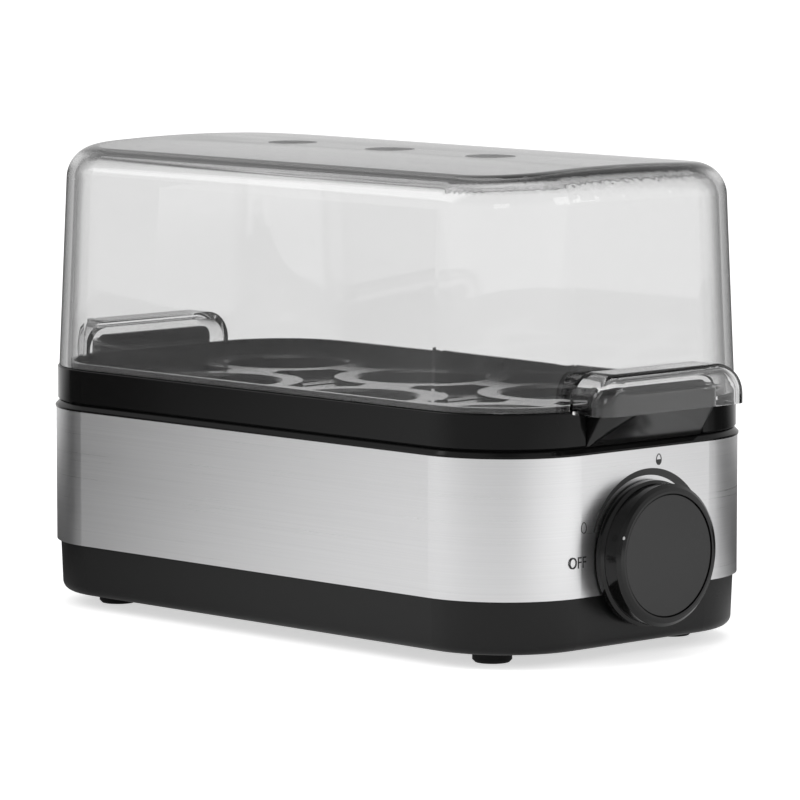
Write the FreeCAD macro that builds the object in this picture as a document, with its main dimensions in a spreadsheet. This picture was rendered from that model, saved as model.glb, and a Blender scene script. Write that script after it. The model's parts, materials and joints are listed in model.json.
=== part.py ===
"""Six-egg boiler: brushed steel body, black dial, lift-out egg tray and clear lid.

Units are millimetres. The origin is on the table under the middle of the body.
+X is the end with the dial, -Y the long front face, +Z up. Every driving size is a
cell of the spreadsheet Sizes, and every piece is bound to those cells.
"""
import FreeCAD, Part

import math
import os

import Sketcher

DOC = FreeCAD.newDocument("EggBoiler")

# Driving sizes: alias, millimetres
SIZES = {
    # body outline, shared by every ring of the housing
    "body_length": 214.0,
    "body_width": 115.0,
    "corner_radius": 31.0,
    # heights, from the table up
    "foot_height": 4.0,
    "base_height": 15.9,
    "steel_height": 41.0,
    "shoulder_height": 1.9,
    "band_height": 10.8,
    # gaps shared by pieces that meet
    "seat_gap": 0.3,
    "slip_gap": 0.2,
    "running_gap": 0.05,
    "overrun": 1.0,
    # black base
    "base_inset_low": 1.85,
    "base_inset_high": 1.2,
    "base_edge_radius": 3.0,
    "floor_gauge": 2.5,
    "shell_wall": 2.4,
    "tower_reach": 22.9,
    "tower_radius": 4.4,
    "tower_height": 28.0,
    "rib_gauge": 1.6,
    "rib_height": 5.0,
    "rib_end_inset": 47.0,
    "vent_length": 22.0,
    "vent_width": 2.6,
    "vent_pitch": 6.0,
    # rubber feet
    "foot_end_inset": 25.0,
    "foot_side_inset": 20.0,
    "foot_radius": 5.8,
    "foot_edge": 0.8,
    "foot_stem_radius": 2.4,
    "foot_barb_radius": 3.2,
    "foot_barb_height": 2.5,
    # housing screws
    "screw_shank_radius": 1.5,
    "screw_head_radius": 3.0,
    "screw_head_height": 2.2,
    "screw_bite": 9.0,
    "screw_clearance": 0.25,
    "counterbore_radius": 3.5,
    "counterbore_depth": 6.0,
    # brushed steel band
    "steel_gauge": 0.8,
    "hem_height": 3.0,
    "hub_hole_radius": 9.0,
    # shoulder ring and black collar
    "shoulder_proud": 0.3,
    "shoulder_chamfer": 1.3,
    "collar_inset": 0.5,
    "collar_wall": 2.4,
    "collar_edge": 0.5,
    "collar_foot_chamfer": 0.8,
    "ledge_gauge": 1.9,
    "ledge_reach": 12.6,
    "skirt_wall": 1.8,
    "skirt_height": 5.3,
    "boss_radius": 3.6,
    "notch_half_width": 24.4,
    "notch_depth": 3.1,
    # water pan and its seal
    "seal_gauge": 1.0,
    "seal_margin": 0.4,
    "pan_inset": 14.0,
    "pan_flange_inset": 6.2,
    "pan_gauge": 0.8,
    "pan_floor_drop": 22.0,
    "pan_edge_radius": 6.0,
    # heater under the pan
    "spreader_length": 122.0,
    "spreader_width": 60.0,
    "spreader_corner": 14.0,
    "spreader_gauge": 3.0,
    "element_radius": 3.25,
    "element_end_inset": 9.0,
    "element_side_inset": 8.0,
    "element_gap": 30.0,
    "pin_radius": 1.6,
    "pin_length": 9.0,
    "tap_radius": 1.5,
    "tap_depth": 2.2,
    "strap_gauge": 0.8,
    "strap_width": 18.0,
    "strap_foot": 8.5,
    "thermostat_x": 20.0,
    "thermostat_cap_radius": 8.0,
    "thermostat_cap_height": 2.0,
    "thermostat_radius": 7.0,
    "thermostat_height": 7.5,
    "blade_length": 7.0,
    "blade_width": 6.3,
    "blade_gauge": 0.8,
    "blade_pitch": 8.0,
    "fuse_inset": 14.0,
    "fuse_y": 8.0,
    "fuse_radius": 2.1,
    "fuse_length": 14.0,
    "clip_width": 8.0,
    "earth_inset": 16.0,
    # egg tray
    "ring_drop": 3.0,
    "web_lift": 0.4,
    "web_gauge": 1.7,
    "egg_end_inset": 34.0,
    "egg_stagger": 12.5,
    "egg_side_inset": 31.3,
    "egg_hole_radius": 19.5,
    "egg_seat_chamfer": 0.9,
    "egg_ring_width": 7.0,
    "neck_half_width": 5.5,
    "bridge_half_width": 9.0,
    "slot_width": 3.0,
    "slot_length": 13.0,
    "slot_pitch": 8.0,
    "rim_inset": 3.8,
    "rim_wall": 1.8,
    "rim_rise": 1.5,
    # grips of the tray
    "grip_side_gap": 0.6,
    "grip_narrowing": 1.2,
    "grip_corner": 8.0,
    "grip_foot_corner": 1.2,
    "grip_reach": 11.0,
    "grip_flare_height": 9.4,
    "grip_lip_height": 5.5,
    "grip_lip_step": 0.5,
    "grip_wall": 2.0,
    "grip_floor_drop": 4.0,
    "grip_floor_corner": 0.6,
    "arm_drop": 0.5,
    "riser_height": 7.5,
    "riser_corner": 3.0,
    # clear lid
    "lid_inset": 1.0,
    "lid_wall": 2.4,
    "lid_rise": 68.3,
    "lid_draft_inset": 3.1,
    "lid_fillet": 10.0,
    "lid_crown_radius": 640.0,
    "steam_hole_radius": 7.5,
    "steam_hole_pitch": 43.0,
    "hood_half_width": 30.0,
    "hood_reach": 13.0,
    "hood_height": 10.7,
    "hood_drop": 0.9,
    "hood_corner": 9.0,
    "hood_edge": 5.5,
    "hood_wall": 2.2,
    # dial and the control behind it
    "dial_height": 26.6,
    "knob_gap": 0.4,
    "knob_radius": 21.2,
    "knob_waist_radius": 20.3,
    "knob_rim_radius": 20.7,
    "knob_face_radius": 18.6,
    "knob_depth": 9.1,
    "knob_skirt_height": 2.2,
    "knob_rim_height": 3.4,
    "knob_step": 0.6,
    "knob_chamfer": 1.2,
    "knob_wall": 2.0,
    "knob_hub_radius": 5.4,
    "knob_hub_clearance": 0.8,
    "knob_bore_stop": 1.4,
    "cap_radius": 17.9,
    "cap_gauge": 1.4,
    "cap_recess": 0.3,
    "cap_edge": 0.4,
    "shaft_radius": 3.0,
    "shaft_flat": 1.6,
    "shaft_engagement": 6.0,
    "bush_radius": 4.5,
    "bush_proud": 0.6,
    "nut_radius": 8.0,
    "nut_gauge": 2.4,
    "control_width": 26.0,
    "control_height": 23.0,
    "control_depth": 11.0,
    "control_edge": 1.5,
    # mains entry and wiring
    "inlet_height": 9.0,
    "inlet_y": 19.0,
    "inlet_hole_radius": 5.0,
    "grommet_bore_radius": 3.4,
    "grommet_flange_radius": 6.6,
    "grommet_flange_gauge": 1.5,
    "grommet_snout": 3.4,
    "grommet_lip": 0.9,
    "grommet_lip_gauge": 1.5,
    "block_end_inset": 29.0,
    "block_length": 16.0,
    "block_width": 34.0,
    "block_height": 12.0,
    "block_groove": 1.2,
    "block_groove_depth": 5.0,
    "block_screw_radius": 2.0,
    "block_screw_head": 1.2,
    "block_screw_depth": 3.5,
    "pole_pitch": 10.0,
    "pole_bore_radius": 1.4,
    "pole_entry": 4.0,
    "wire_radius": 1.1,
    "wire_bend": 4.0,
    "wire_drop": 10.0,
    "wire_lift": 4.0,
    "wire_run": 6.0,
}


class Size:
    """A length with its spreadsheet expression, so that sums of sizes stay parametric."""

    def __init__(self, text, mm):
        self.text = text
        self.mm = mm

    def _join(self, other, sign, result):
        text = other.text if isinstance(other, Size) else repr(float(other))
        return Size("(" + self.text + " " + sign + " " + text + ")", result)

    def __add__(self, other):
        return self._join(other, "+", self.mm + number(other))

    def __sub__(self, other):
        return self._join(other, "-", self.mm - number(other))

    def __mul__(self, other):
        return self._join(other, "*", self.mm * number(other))

    def __truediv__(self, other):
        return self._join(other, "/", self.mm / number(other))

    def __neg__(self):
        return Size("(-1 * " + self.text + ")", -self.mm)

    def __rmul__(self, other):
        return self * other

    def __rsub__(self, other):
        return -self + other

    def __radd__(self, other):
        return self + other


def number(value):
    """The millimetres of a Size or of a plain number."""
    return value.mm if isinstance(value, Size) else float(value)


def root(size):
    """The square root of a ratio of sizes."""
    return Size("sqrt(" + size.text + ")", math.sqrt(size.mm))


def fill_sheet():
    """Write the driving sizes into the sheet and return them by name."""
    sheet = DOC.addObject("Spreadsheet::Sheet", "Sizes")
    sizes = {}
    for row, (alias, millimetres) in enumerate(SIZES.items(), start=1):
        sheet.set("A%d" % row, alias)
        sheet.set("B%d" % row, str(millimetres))
        sheet.setAlias("B%d" % row, alias)
        sizes[alias] = Size("Sizes." + alias, millimetres)
    DOC.recompute()
    return sizes


class Names:
    """The sizes as attributes: s.body_length and so on."""

    def __init__(self, sizes):
        self.__dict__.update(sizes)


s = Names(fill_sheet())
DIAGONAL_SHARE = math.sqrt(0.5)
POINT_TOLERANCE = 1e-6

# Levels, worked out from the heights
Z_BASE = s.foot_height
Z_FLOOR = Z_BASE + s.floor_gauge
Z_STEEL = Z_BASE + s.base_height
Z_SHOULDER = Z_STEEL + s.steel_height
Z_BAND = Z_SHOULDER + s.shoulder_height
Z_RIM = Z_BAND + s.band_height
Z_LEDGE = Z_BAND + s.ledge_gauge
Z_FLANGE = Z_LEDGE + s.seal_gauge
Z_TRAY = Z_FLANGE + s.pan_gauge + s.web_lift
Z_RING = Z_RIM - s.ring_drop
Z_PAN = Z_FLANGE - s.pan_floor_drop
Z_SPREADER = Z_PAN - s.spreader_gauge
Z_ELEMENT = Z_SPREADER - s.element_radius
Z_TOWER = Z_FLOOR + s.tower_height
Z_BOSS = Z_TOWER + s.seat_gap
Z_DIAL = Z_BASE + s.dial_height
Z_INLET = Z_BASE + s.inlet_height
Z_LID = Z_RIM + s.slip_gap
Z_LID_TOP = Z_LID + s.lid_rise

# Plan positions shared by several pieces
END_X = s.body_length / 2
SIDE_Y = s.body_width / 2
HEM = s.steel_gauge * 2
SHELL_INSET = HEM + s.slip_gap
CAVITY_INSET = SHELL_INSET + s.shell_wall
SKIRT_INSET = CAVITY_INSET + s.slip_gap
TOWER_X = END_X - s.corner_radius + s.tower_reach * DIAGONAL_SHARE
TOWER_Y = SIDE_Y - s.corner_radius + s.tower_reach * DIAGONAL_SHARE
WALL_X = END_X - SHELL_INSET
INNER_X = END_X - CAVITY_INSET
CONTROL_FACE = INNER_X - s.rib_gauge
CONTROL_BACK = CONTROL_FACE - s.control_depth
NUT_FRONT = WALL_X + s.nut_gauge
BUSH_END = NUT_FRONT + s.bush_proud
KNOB_REAR = END_X + s.knob_gap
KNOB_FRONT = KNOB_REAR + s.knob_depth
CAP_SEAT = KNOB_FRONT - s.cap_recess - s.cap_gauge
SHAFT_END = CAP_SEAT - s.knob_bore_stop
SHAFT_START = CONTROL_FACE - s.shaft_engagement
NOTCH_X = END_X - s.notch_depth
GRIP_FOOT_HALF = s.notch_half_width - s.grip_side_gap
GRIP_HALF = GRIP_FOOT_HALF - s.grip_narrowing
FOOT_X = END_X - s.foot_end_inset
FOOT_Y = SIDE_Y - s.foot_side_inset
RIB_X = END_X - s.rib_end_inset
BLOCK_X = END_X - s.block_end_inset
EGG_PITCH = END_X - s.egg_stagger - s.egg_end_inset
EGG_ROW = SIDE_Y - s.egg_side_inset
ELEMENT_X = s.spreader_length / 2 - s.element_end_inset
ELEMENT_Y = s.spreader_width / 2 - s.element_side_inset
EARTH_X = ELEMENT_X - s.earth_inset
FUSE_X = EARTH_X - s.fuse_inset

PLANES = {"XY": "XY_Plane", "XZ": "XZ_Plane", "YZ": "YZ_Plane"}


def bind(thing, path, size):
    """Set one property to a size, as an expression when it comes from the sheet."""
    setattr(thing, path, number(size))
    if isinstance(size, Size):
        thing.setExpression(path, size.text)


def place(thing, x=0.0, y=0.0, z=0.0, axis=(0, 0, 1), turn=0.0):
    """Put an object at a point of the frame, turned about an axis in degrees."""
    rotation = FreeCAD.Rotation(FreeCAD.Vector(*axis), turn)
    thing.Placement = FreeCAD.Placement(FreeCAD.Vector(number(x), number(y), number(z)), rotation)
    for letter, size in (("x", x), ("y", y), ("z", z)):
        if isinstance(size, Size):
            thing.setExpression("Placement.Base." + letter, size.text)
    return thing


def body(name):
    """A new PartDesign body."""
    made = DOC.addObject("PartDesign::Body", name)
    made.Label = name
    return made


def sketch(owner, plane, lift=0.0):
    """A sketch on one of the body's own planes, lifted along that plane's normal."""
    made = owner.newObject("Sketcher::SketchObject", "Sketch")
    role = PLANES[plane]
    origin = [item for item in owner.Origin.OriginFeatures if item.Role == role][0]
    made.AttachmentSupport = [(origin, "")]
    made.MapMode = "FlatFace"
    offset = FreeCAD.Vector(0, 0, number(lift))
    made.AttachmentOffset = FreeCAD.Placement(offset, FreeCAD.Rotation())
    if isinstance(lift, Size):
        made.setExpression("AttachmentOffset.Base.z", lift.text)
    return made


def dimension(drawing, kind, places, size):
    """Add a driving dimension to a sketch and bind it to the sheet."""
    index = drawing.addConstraint(Sketcher.Constraint(kind, *places, number(size)))
    if isinstance(size, Size):
        drawing.setExpression("Constraints[%d]" % index, size.text)


def relate(drawing, *constraint):
    """Add a constraint that has no size."""
    drawing.addConstraint(Sketcher.Constraint(*constraint))


def pin_point(drawing, geometry, end, x, y):
    """Hold one point of a piece of geometry at a place measured from the sketch's origin."""
    for kind, size, axis in (("DistanceX", x, -2), ("DistanceY", y, -1)):
        if abs(number(size)) < POINT_TOLERANCE:
            relate(drawing, "PointOnObject", geometry, end, axis)
        elif number(size) > 0:
            dimension(drawing, kind, (-1, 1, geometry, end), size)
        else:
            dimension(drawing, kind, (geometry, end, -1, 1), size * -1)


def add_line(drawing, start, stop):
    """Draw one straight line between two points made of sizes."""
    first = FreeCAD.Vector(number(start[0]), number(start[1]), 0)
    last = FreeCAD.Vector(number(stop[0]), number(stop[1]), 0)
    return drawing.addGeometry(Part.LineSegment(first, last), False)


def add_arc(drawing, centre, radius, start, stop):
    """Draw one arc, with its ends given in degrees."""
    middle = FreeCAD.Vector(number(centre[0]), number(centre[1]), 0)
    ring = Part.Circle(middle, FreeCAD.Vector(0, 0, 1), number(radius))
    arc = Part.ArcOfCircle(ring, math.radians(start), math.radians(stop))
    return drawing.addGeometry(arc, False)


def polygon(drawing, points):
    """Draw a closed outline of straight lines through points made of sizes."""
    first = drawing.GeometryCount
    count = len(points)
    for index, point in enumerate(points):
        add_line(drawing, point, points[(index + 1) % count])
    for index in range(count):
        relate(drawing, "Coincident", first + index, 2, first + (index + 1) % count, 1)
    for index, (x, y) in enumerate(points):
        pin_point(drawing, first + index, 1, x, y)


def rectangle(drawing, x0, x1, y0, y1):
    """Draw a rectangle between two pairs of limits."""
    polygon(drawing, [(x0, y0), (x1, y0), (x1, y1), (x0, y1)])


def circle(drawing, x, y, radius):
    """Draw a circle."""
    centre = FreeCAD.Vector(number(x), number(y), 0)
    index = drawing.addGeometry(Part.Circle(centre, FreeCAD.Vector(0, 0, 1), number(radius)), False)
    pin_point(drawing, index, 3, x, y)
    dimension(drawing, "Radius", (index,), radius)


def round_rectangle(drawing, length, width, radius):
    """Draw a rectangle with four round corners, centred on the sketch's origin."""
    half_x, half_y = length / 2, width / 2
    flat_x, flat_y = half_x - radius, half_y - radius
    first = drawing.GeometryCount
    runs = [((-flat_x, -half_y), (flat_x, -half_y)), ((half_x, -flat_y), (half_x, flat_y)),
            ((flat_x, half_y), (-flat_x, half_y)), ((-half_x, flat_y), (-half_x, -flat_y))]
    for start, stop in runs:
        add_line(drawing, start, stop)
    for index, (x, y) in enumerate([(flat_x, -flat_y), (flat_x, flat_y),
                                    (-flat_x, flat_y), (-flat_x, -flat_y)]):
        add_arc(drawing, (x, y), radius, 90 * index - 90, 90 * index)
    for index in range(4):
        line, arc, after = first + index, first + 4 + index, first + (index + 1) % 4
        relate(drawing, "Tangent", line, 2, arc, 1)
        relate(drawing, "Tangent", arc, 2, after, 1)
        relate(drawing, "Vertical" if index % 2 else "Horizontal", line)
    for index in range(3):
        relate(drawing, "Equal", first + 4 + index, first + 5 + index)
    relate(drawing, "Symmetric", first + 4, 3, first + 6, 3, -1, 1)
    dimension(drawing, "Radius", (first + 4,), radius)
    dimension(drawing, "DistanceX", (first + 3, 1, first + 1, 1), length)
    dimension(drawing, "DistanceY", (first, 1, first + 2, 2), width)


def nose_outline(drawing, back_x, front_x, half_width, corner):
    """Draw a rectangle whose two +X corners are round, centred on the X axis."""
    first = drawing.GeometryCount
    flat_x, flat_y = front_x - corner, half_width - corner
    add_line(drawing, (back_x, -half_width), (flat_x, -half_width))
    add_arc(drawing, (flat_x, -flat_y), corner, -90, 0)
    add_line(drawing, (front_x, -flat_y), (front_x, flat_y))
    add_arc(drawing, (flat_x, flat_y), corner, 0, 90)
    add_line(drawing, (flat_x, half_width), (back_x, half_width))
    add_line(drawing, (back_x, half_width), (back_x, -half_width))
    for index in range(4):
        relate(drawing, "Tangent", first + index, 2, first + index + 1, 1)
    relate(drawing, "Coincident", first + 4, 2, first + 5, 1)
    relate(drawing, "Coincident", first + 5, 2, first, 1)
    relate(drawing, "Equal", first + 1, first + 3)
    relate(drawing, "Horizontal", first)
    relate(drawing, "Horizontal", first + 4)
    relate(drawing, "Vertical", first + 2)
    pin_point(drawing, first, 1, back_x, -half_width)
    pin_point(drawing, first + 4, 2, back_x, half_width)
    dimension(drawing, "Radius", (first + 1,), corner)
    dimension(drawing, "DistanceX", (-1, 1, first + 2, 1), front_x)


def outline(drawing, inset):
    """Draw the body's plan outline, moved inwards by an inset."""
    round_rectangle(drawing, s.body_length - inset * 2, s.body_width - inset * 2,
                    s.corner_radius - inset)


def feature(owner, kind, drawing, length=None):
    """Add a sketch-based feature to a body and make it the body's tip."""
    made = owner.newObject("PartDesign::" + kind, kind)
    made.Profile = drawing
    made.AllowMultiFace = True
    if length is not None:
        bind(made, "Length", length)
    drawing.Visibility = False
    owner.Tip = made
    return made


def ring_pad(owner, z, height, outer, inner=None):
    """Pad a ring of the body's outline, or a full plate where no inner inset is given."""
    drawing = sketch(owner, "XY", z)
    outline(drawing, outer)
    if inner is not None:
        outline(drawing, inner)
    return feature(owner, "Pad", drawing, height)


def ring_pocket(owner, z, depth, outer, inner=None):
    """Cut the body's outline, or a ring of it, downwards from a level."""
    drawing = sketch(owner, "XY", z)
    outline(drawing, outer)
    if inner is not None:
        outline(drawing, inner)
    return feature(owner, "Pocket", drawing, depth)


def round_posts(owner, kind, z, length, radius, centres, plane="XY"):
    """Pad round posts from a level along the plane's normal, or pocket holes against it."""
    drawing = sketch(owner, plane, z)
    for x, y in centres:
        circle(drawing, x, y, radius)
    return feature(owner, kind, drawing, length)


def loft(owner, kind, sections):
    """Loft straight between sections that have as many edges each."""
    made = owner.newObject("PartDesign::" + kind, kind)
    made.Profile = sections[0]
    made.Sections = sections[1:]
    made.Ruled = True
    owner.Tip = made
    return made


def revolve(owner, points, axis):
    """Revolve an outline in the XZ plane about its own H_Axis (X) or V_Axis (Z)."""
    drawing = sketch(owner, "XZ")
    polygon(drawing, points)
    made = feature(owner, "Revolution", drawing)
    made.ReferenceAxis = (drawing, [axis])
    made.Angle = 360.0
    return made


def depth_inside(point):
    """How far a point lies inside the body's plan outline, measured square to it."""
    corner = s.corner_radius.mm
    dx = abs(point.x) - (END_X.mm - corner)
    dy = abs(point.y) - (SIDE_Y.mm - corner)
    if dx > 0 and dy > 0:
        return corner - math.hypot(dx, dy)
    return corner - max(dx, dy)


def flat_at(edge, z):
    """Whether an edge lies wholly at one level."""
    near = s.running_gap.mm
    return abs(edge.BoundBox.ZMin - number(z)) < near and abs(edge.BoundBox.ZMax - number(z)) < near


def middle_of(edge):
    """The point half way along an edge."""
    return edge.valueAt((edge.FirstParameter + edge.LastParameter) / 2)


def loop_edges(z, inset):
    """A test for the edges of one outline loop at one level."""
    def test(edge):
        return flat_at(edge, z) and abs(depth_inside(middle_of(edge)) - number(inset)) < s.slip_gap.mm
    return test


def edge_along(edge, direction):
    """Whether an edge is a straight line along a direction."""
    if not isinstance(edge.Curve, Part.Line):
        return False
    return abs(abs(edge.Curve.Direction.dot(FreeCAD.Vector(*direction))) - 1) < POINT_TOLERANCE


def soften(owner, size, test, kind="Fillet"):
    """Fillet or chamfer the edges of a body's tip that pass a test."""
    DOC.recompute()
    tip = owner.Tip
    edges = enumerate(tip.Shape.Edges, start=1)
    names = ["Edge%d" % index for index, edge in edges if test(edge)]
    made = owner.newObject("PartDesign::" + kind, kind)
    made.Base = (tip, names)
    bind(made, "Radius" if kind == "Fillet" else "Size", size)
    owner.Tip = made
    return made


def join(name, pieces):
    """Fuse several objects."""
    made = DOC.addObject("Part::MultiFuse", name)
    made.Shapes = pieces
    made.Refine = True
    return made


def cut(name, base, tool):
    """Cut one object out of another."""
    made = DOC.addObject("Part::Cut", name)
    made.Base = base
    made.Tool = tool
    made.Refine = True
    return made


def group(name, pieces):
    """Several separate solids in one node."""
    made = DOC.addObject("Part::Compound", name)
    made.Links = pieces
    return made


def corners(x, y):
    """The four points that mirror one point about both axes."""
    return [(x, y), (-x, y), (-x, -y), (x, -y)]


FINISHED = []


def finish(thing, node):
    """Name a finished piece after its node and put it on the list."""
    thing.Label = node
    FINISHED.append(thing)
    return thing


# Black base shell
def base_shell():
    """The lower housing: floor, walls, screw towers, ribs, vents and openings."""
    shell = body("base_shell_body")
    low = sketch(shell, "XY", Z_BASE)
    outline(low, s.base_inset_low)
    high = sketch(shell, "XY", Z_STEEL)
    outline(high, s.base_inset_high)
    loft(shell, "AdditiveLoft", [low, high])
    soften(shell, s.base_edge_radius, loop_edges(Z_BASE, s.base_inset_low))
    top = Z_SHOULDER - s.seat_gap
    ring_pad(shell, Z_STEEL, top - Z_STEEL, SHELL_INSET)
    ring_pocket(shell, top, top - Z_FLOOR, CAVITY_INSET)
    round_posts(shell, "Pad", Z_FLOOR, s.tower_height, s.tower_radius, corners(TOWER_X, TOWER_Y))
    ribs = sketch(shell, "XY", Z_FLOOR)
    reach = SIDE_Y - CAVITY_INSET
    for side in (-1, 1):
        middle = RIB_X * side
        rectangle(ribs, middle - s.rib_gauge / 2, middle + s.rib_gauge / 2, -reach, reach)
    feature(shell, "Pad", ribs, s.rib_height)
    # pad inside the +X wall that carries the control, with the hole for its bush
    seat_radius = s.hub_hole_radius + s.rib_gauge
    round_posts(shell, "Pad", CONTROL_FACE, s.rib_gauge + s.overrun, seat_radius,
                [(0.0, Z_DIAL)], "YZ")
    round_posts(shell, "Pocket", END_X + s.overrun, CAVITY_INSET + s.rib_gauge + s.overrun * 2,
                s.bush_radius + s.running_gap, [(0.0, Z_DIAL)], "YZ")
    # screw holes through the towers, with counterbores from below
    round_posts(shell, "Pocket", Z_TOWER + s.overrun, Z_TOWER - Z_BASE + s.overrun * 2,
                s.screw_shank_radius + s.screw_clearance, corners(TOWER_X, TOWER_Y))
    round_posts(shell, "Pocket", Z_BASE + s.counterbore_depth, s.counterbore_depth + s.overrun,
                s.counterbore_radius, corners(TOWER_X, TOWER_Y))
    # holes for the feet, and air slots under the heater
    round_posts(shell, "Pocket", Z_FLOOR + s.overrun, s.floor_gauge + s.overrun * 2,
                s.foot_stem_radius + s.running_gap, corners(FOOT_X, FOOT_Y))
    slots = sketch(shell, "XY", Z_FLOOR + s.overrun)
    for row in (-2, -1, 0, 1, 2):
        middle = s.vent_pitch * row
        rectangle(slots, -s.vent_length / 2, s.vent_length / 2,
                  middle - s.vent_width / 2, middle + s.vent_width / 2)
    feature(shell, "Pocket", slots, s.floor_gauge + s.overrun * 2)
    # mains inlet hole in the -X wall
    entry = round_posts(shell, "Pocket", -END_X - s.overrun, CAVITY_INSET + s.overrun * 2,
                        s.inlet_hole_radius, [(s.inlet_y, Z_INLET)], "YZ")
    entry.Reversed = True
    return finish(shell, "base_shell")


def rubber_feet():
    """Four rubber feet, each with a barbed stem pulled through the floor."""
    feet = []
    for index, (x, y) in enumerate(corners(FOOT_X, FOOT_Y)):
        foot = body("foot_%d" % index)
        tip = Z_FLOOR + s.foot_barb_height
        revolve(foot, [
            (0.0, 0.0), (s.foot_radius - s.foot_edge, 0.0), (s.foot_radius, s.foot_edge),
            (s.foot_radius, Z_BASE), (s.foot_stem_radius, Z_BASE), (s.foot_stem_radius, Z_FLOOR),
            (s.foot_barb_radius, Z_FLOOR), (s.foot_stem_radius, tip), (0.0, tip)], "V_Axis")
        feet.append(place(foot, x, y))
    return finish(group("feet", feet), "rubber_feet")


def housing_screws():
    """Four long screws from below, through the towers into the collar's bosses."""
    screws = []
    seat = Z_BASE + s.counterbore_depth
    head = seat - s.screw_head_height
    tip = Z_TOWER + s.screw_bite
    for index, (x, y) in enumerate(corners(TOWER_X, TOWER_Y)):
        screw = body("housing_screw_%d" % index)
        revolve(screw, [
            (0.0, head), (s.screw_head_radius, head), (s.screw_head_radius, seat),
            (s.screw_shank_radius, seat), (s.screw_shank_radius, tip),
            (0.0, tip + s.screw_shank_radius)], "V_Axis")
        screws.append(place(screw, x, y))
    return finish(group("housing_screw_set", screws), "housing_screws")


# Brushed steel band, shoulder ring and black collar
def steel_band():
    """The brushed steel sleeve, hemmed inwards at both edges, with the dial's hole."""
    band = body("steel_band_body")
    ring_pad(band, Z_STEEL, s.steel_height, 0.0, HEM)
    ring_pocket(band, Z_SHOULDER - s.hem_height, s.steel_height - s.hem_height * 2,
                s.steel_gauge, HEM + s.overrun)
    round_posts(band, "Pocket", END_X + s.overrun, HEM + s.overrun * 2,
                s.hub_hole_radius, [(0.0, Z_DIAL)], "YZ")
    return finish(band, "steel_band")


def shoulder_ring():
    """The glossy black ring that caps the steel sleeve."""
    ring = body("shoulder_ring_body")
    ring_pad(ring, Z_SHOULDER, s.shoulder_height, -s.shoulder_proud, CAVITY_INSET)
    soften(ring, s.shoulder_chamfer, loop_edges(Z_BAND, -s.shoulder_proud), "Chamfer")
    return finish(ring, "shoulder_ring")


def upper_collar():
    """The black collar: band wall, ledge for the pan, skirt, screw bosses, end notches."""
    collar = body("upper_collar_body")
    inner = s.collar_inset + s.collar_wall
    ring_pad(collar, Z_BAND, s.band_height, s.collar_inset, inner)
    soften(collar, s.collar_edge, loop_edges(Z_RIM, s.collar_inset))
    soften(collar, s.collar_foot_chamfer, loop_edges(Z_BAND, s.collar_inset), "Chamfer")
    ring_pad(collar, Z_BAND, s.ledge_gauge, inner - s.collar_wall / 2, s.ledge_reach)
    ring_pad(collar, Z_BAND - s.skirt_height, s.skirt_height + s.ledge_gauge / 2,
             SKIRT_INSET, SKIRT_INSET + s.skirt_wall)
    round_posts(collar, "Pad", Z_BOSS, Z_BAND - Z_BOSS + s.ledge_gauge / 2, s.boss_radius,
                corners(TOWER_X, TOWER_Y))
    pilot = s.screw_bite + s.screw_shank_radius + s.overrun
    round_posts(collar, "Pocket", Z_BOSS + pilot, pilot + s.overrun,
                s.screw_shank_radius + s.running_gap, corners(TOWER_X, TOWER_Y))
    notches = sketch(collar, "XY", Z_RIM + s.overrun)
    rectangle(notches, NOTCH_X, END_X + s.overrun, -s.notch_half_width, s.notch_half_width)
    rectangle(notches, -END_X - s.overrun, -NOTCH_X, -s.notch_half_width, s.notch_half_width)
    feature(collar, "Pocket", notches, s.band_height + s.overrun)
    return finish(collar, "upper_collar")


# Water pan, seal and heater
def pan_seal():
    """The silicone ring between the ledge and the pan's flange."""
    seal = body("pan_seal_body")
    ring_pad(seal, Z_LEDGE, s.seal_gauge, s.pan_flange_inset + s.seal_margin,
             s.ledge_reach - s.seal_margin)
    return finish(seal, "pan_seal")


def bowl(name, inset, bottom, top, radius):
    """A block of the pan's outline with a rounded bottom edge."""
    made = body(name)
    ring_pad(made, bottom, top - bottom, inset)
    soften(made, radius, loop_edges(bottom, inset))
    return made


def water_pan():
    """The pressed stainless pan with its flange."""
    rim = Z_FLANGE + s.pan_gauge
    outer = bowl("pan_outer_form", s.pan_inset, Z_PAN, rim, s.pan_edge_radius)
    ring_pad(outer, Z_FLANGE, s.pan_gauge, s.pan_flange_inset)
    inner = bowl("pan_inner_form", s.pan_inset + s.pan_gauge, Z_PAN + s.pan_gauge,
                 rim + s.overrun, s.pan_edge_radius - s.pan_gauge)
    return finish(cut("pan_hollow", outer, inner), "water_pan")


THERMOSTAT_SCREW = s.thermostat_cap_radius + s.strap_foot / 2
FUSE_WALL = s.fuse_radius + s.strap_gauge
FUSE_SCREW_Y = s.fuse_y - FUSE_WALL - s.strap_foot / 2
EARTH_SCREW_X = -EARTH_X - s.strap_foot / 2
PLATE_SCREWS = [(s.thermostat_x + THERMOSTAT_SCREW, 0.0), (s.thermostat_x - THERMOSTAT_SCREW, 0.0),
                (-FUSE_X, FUSE_SCREW_Y), (EARTH_SCREW_X, 0.0)]


def spreader_plate():
    """The aluminium plate that spreads the heat, with blind holes for its screws."""
    plate = body("spreader_plate_body")
    drawing = sketch(plate, "XY", Z_SPREADER)
    round_rectangle(drawing, s.spreader_length, s.spreader_width, s.spreader_corner)
    feature(plate, "Pad", drawing, s.spreader_gauge)
    round_posts(plate, "Pocket", Z_SPREADER + s.tap_depth, s.tap_depth + s.overrun,
                s.tap_radius, PLATE_SCREWS)
    return finish(plate, "spreader_plate")


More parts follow.
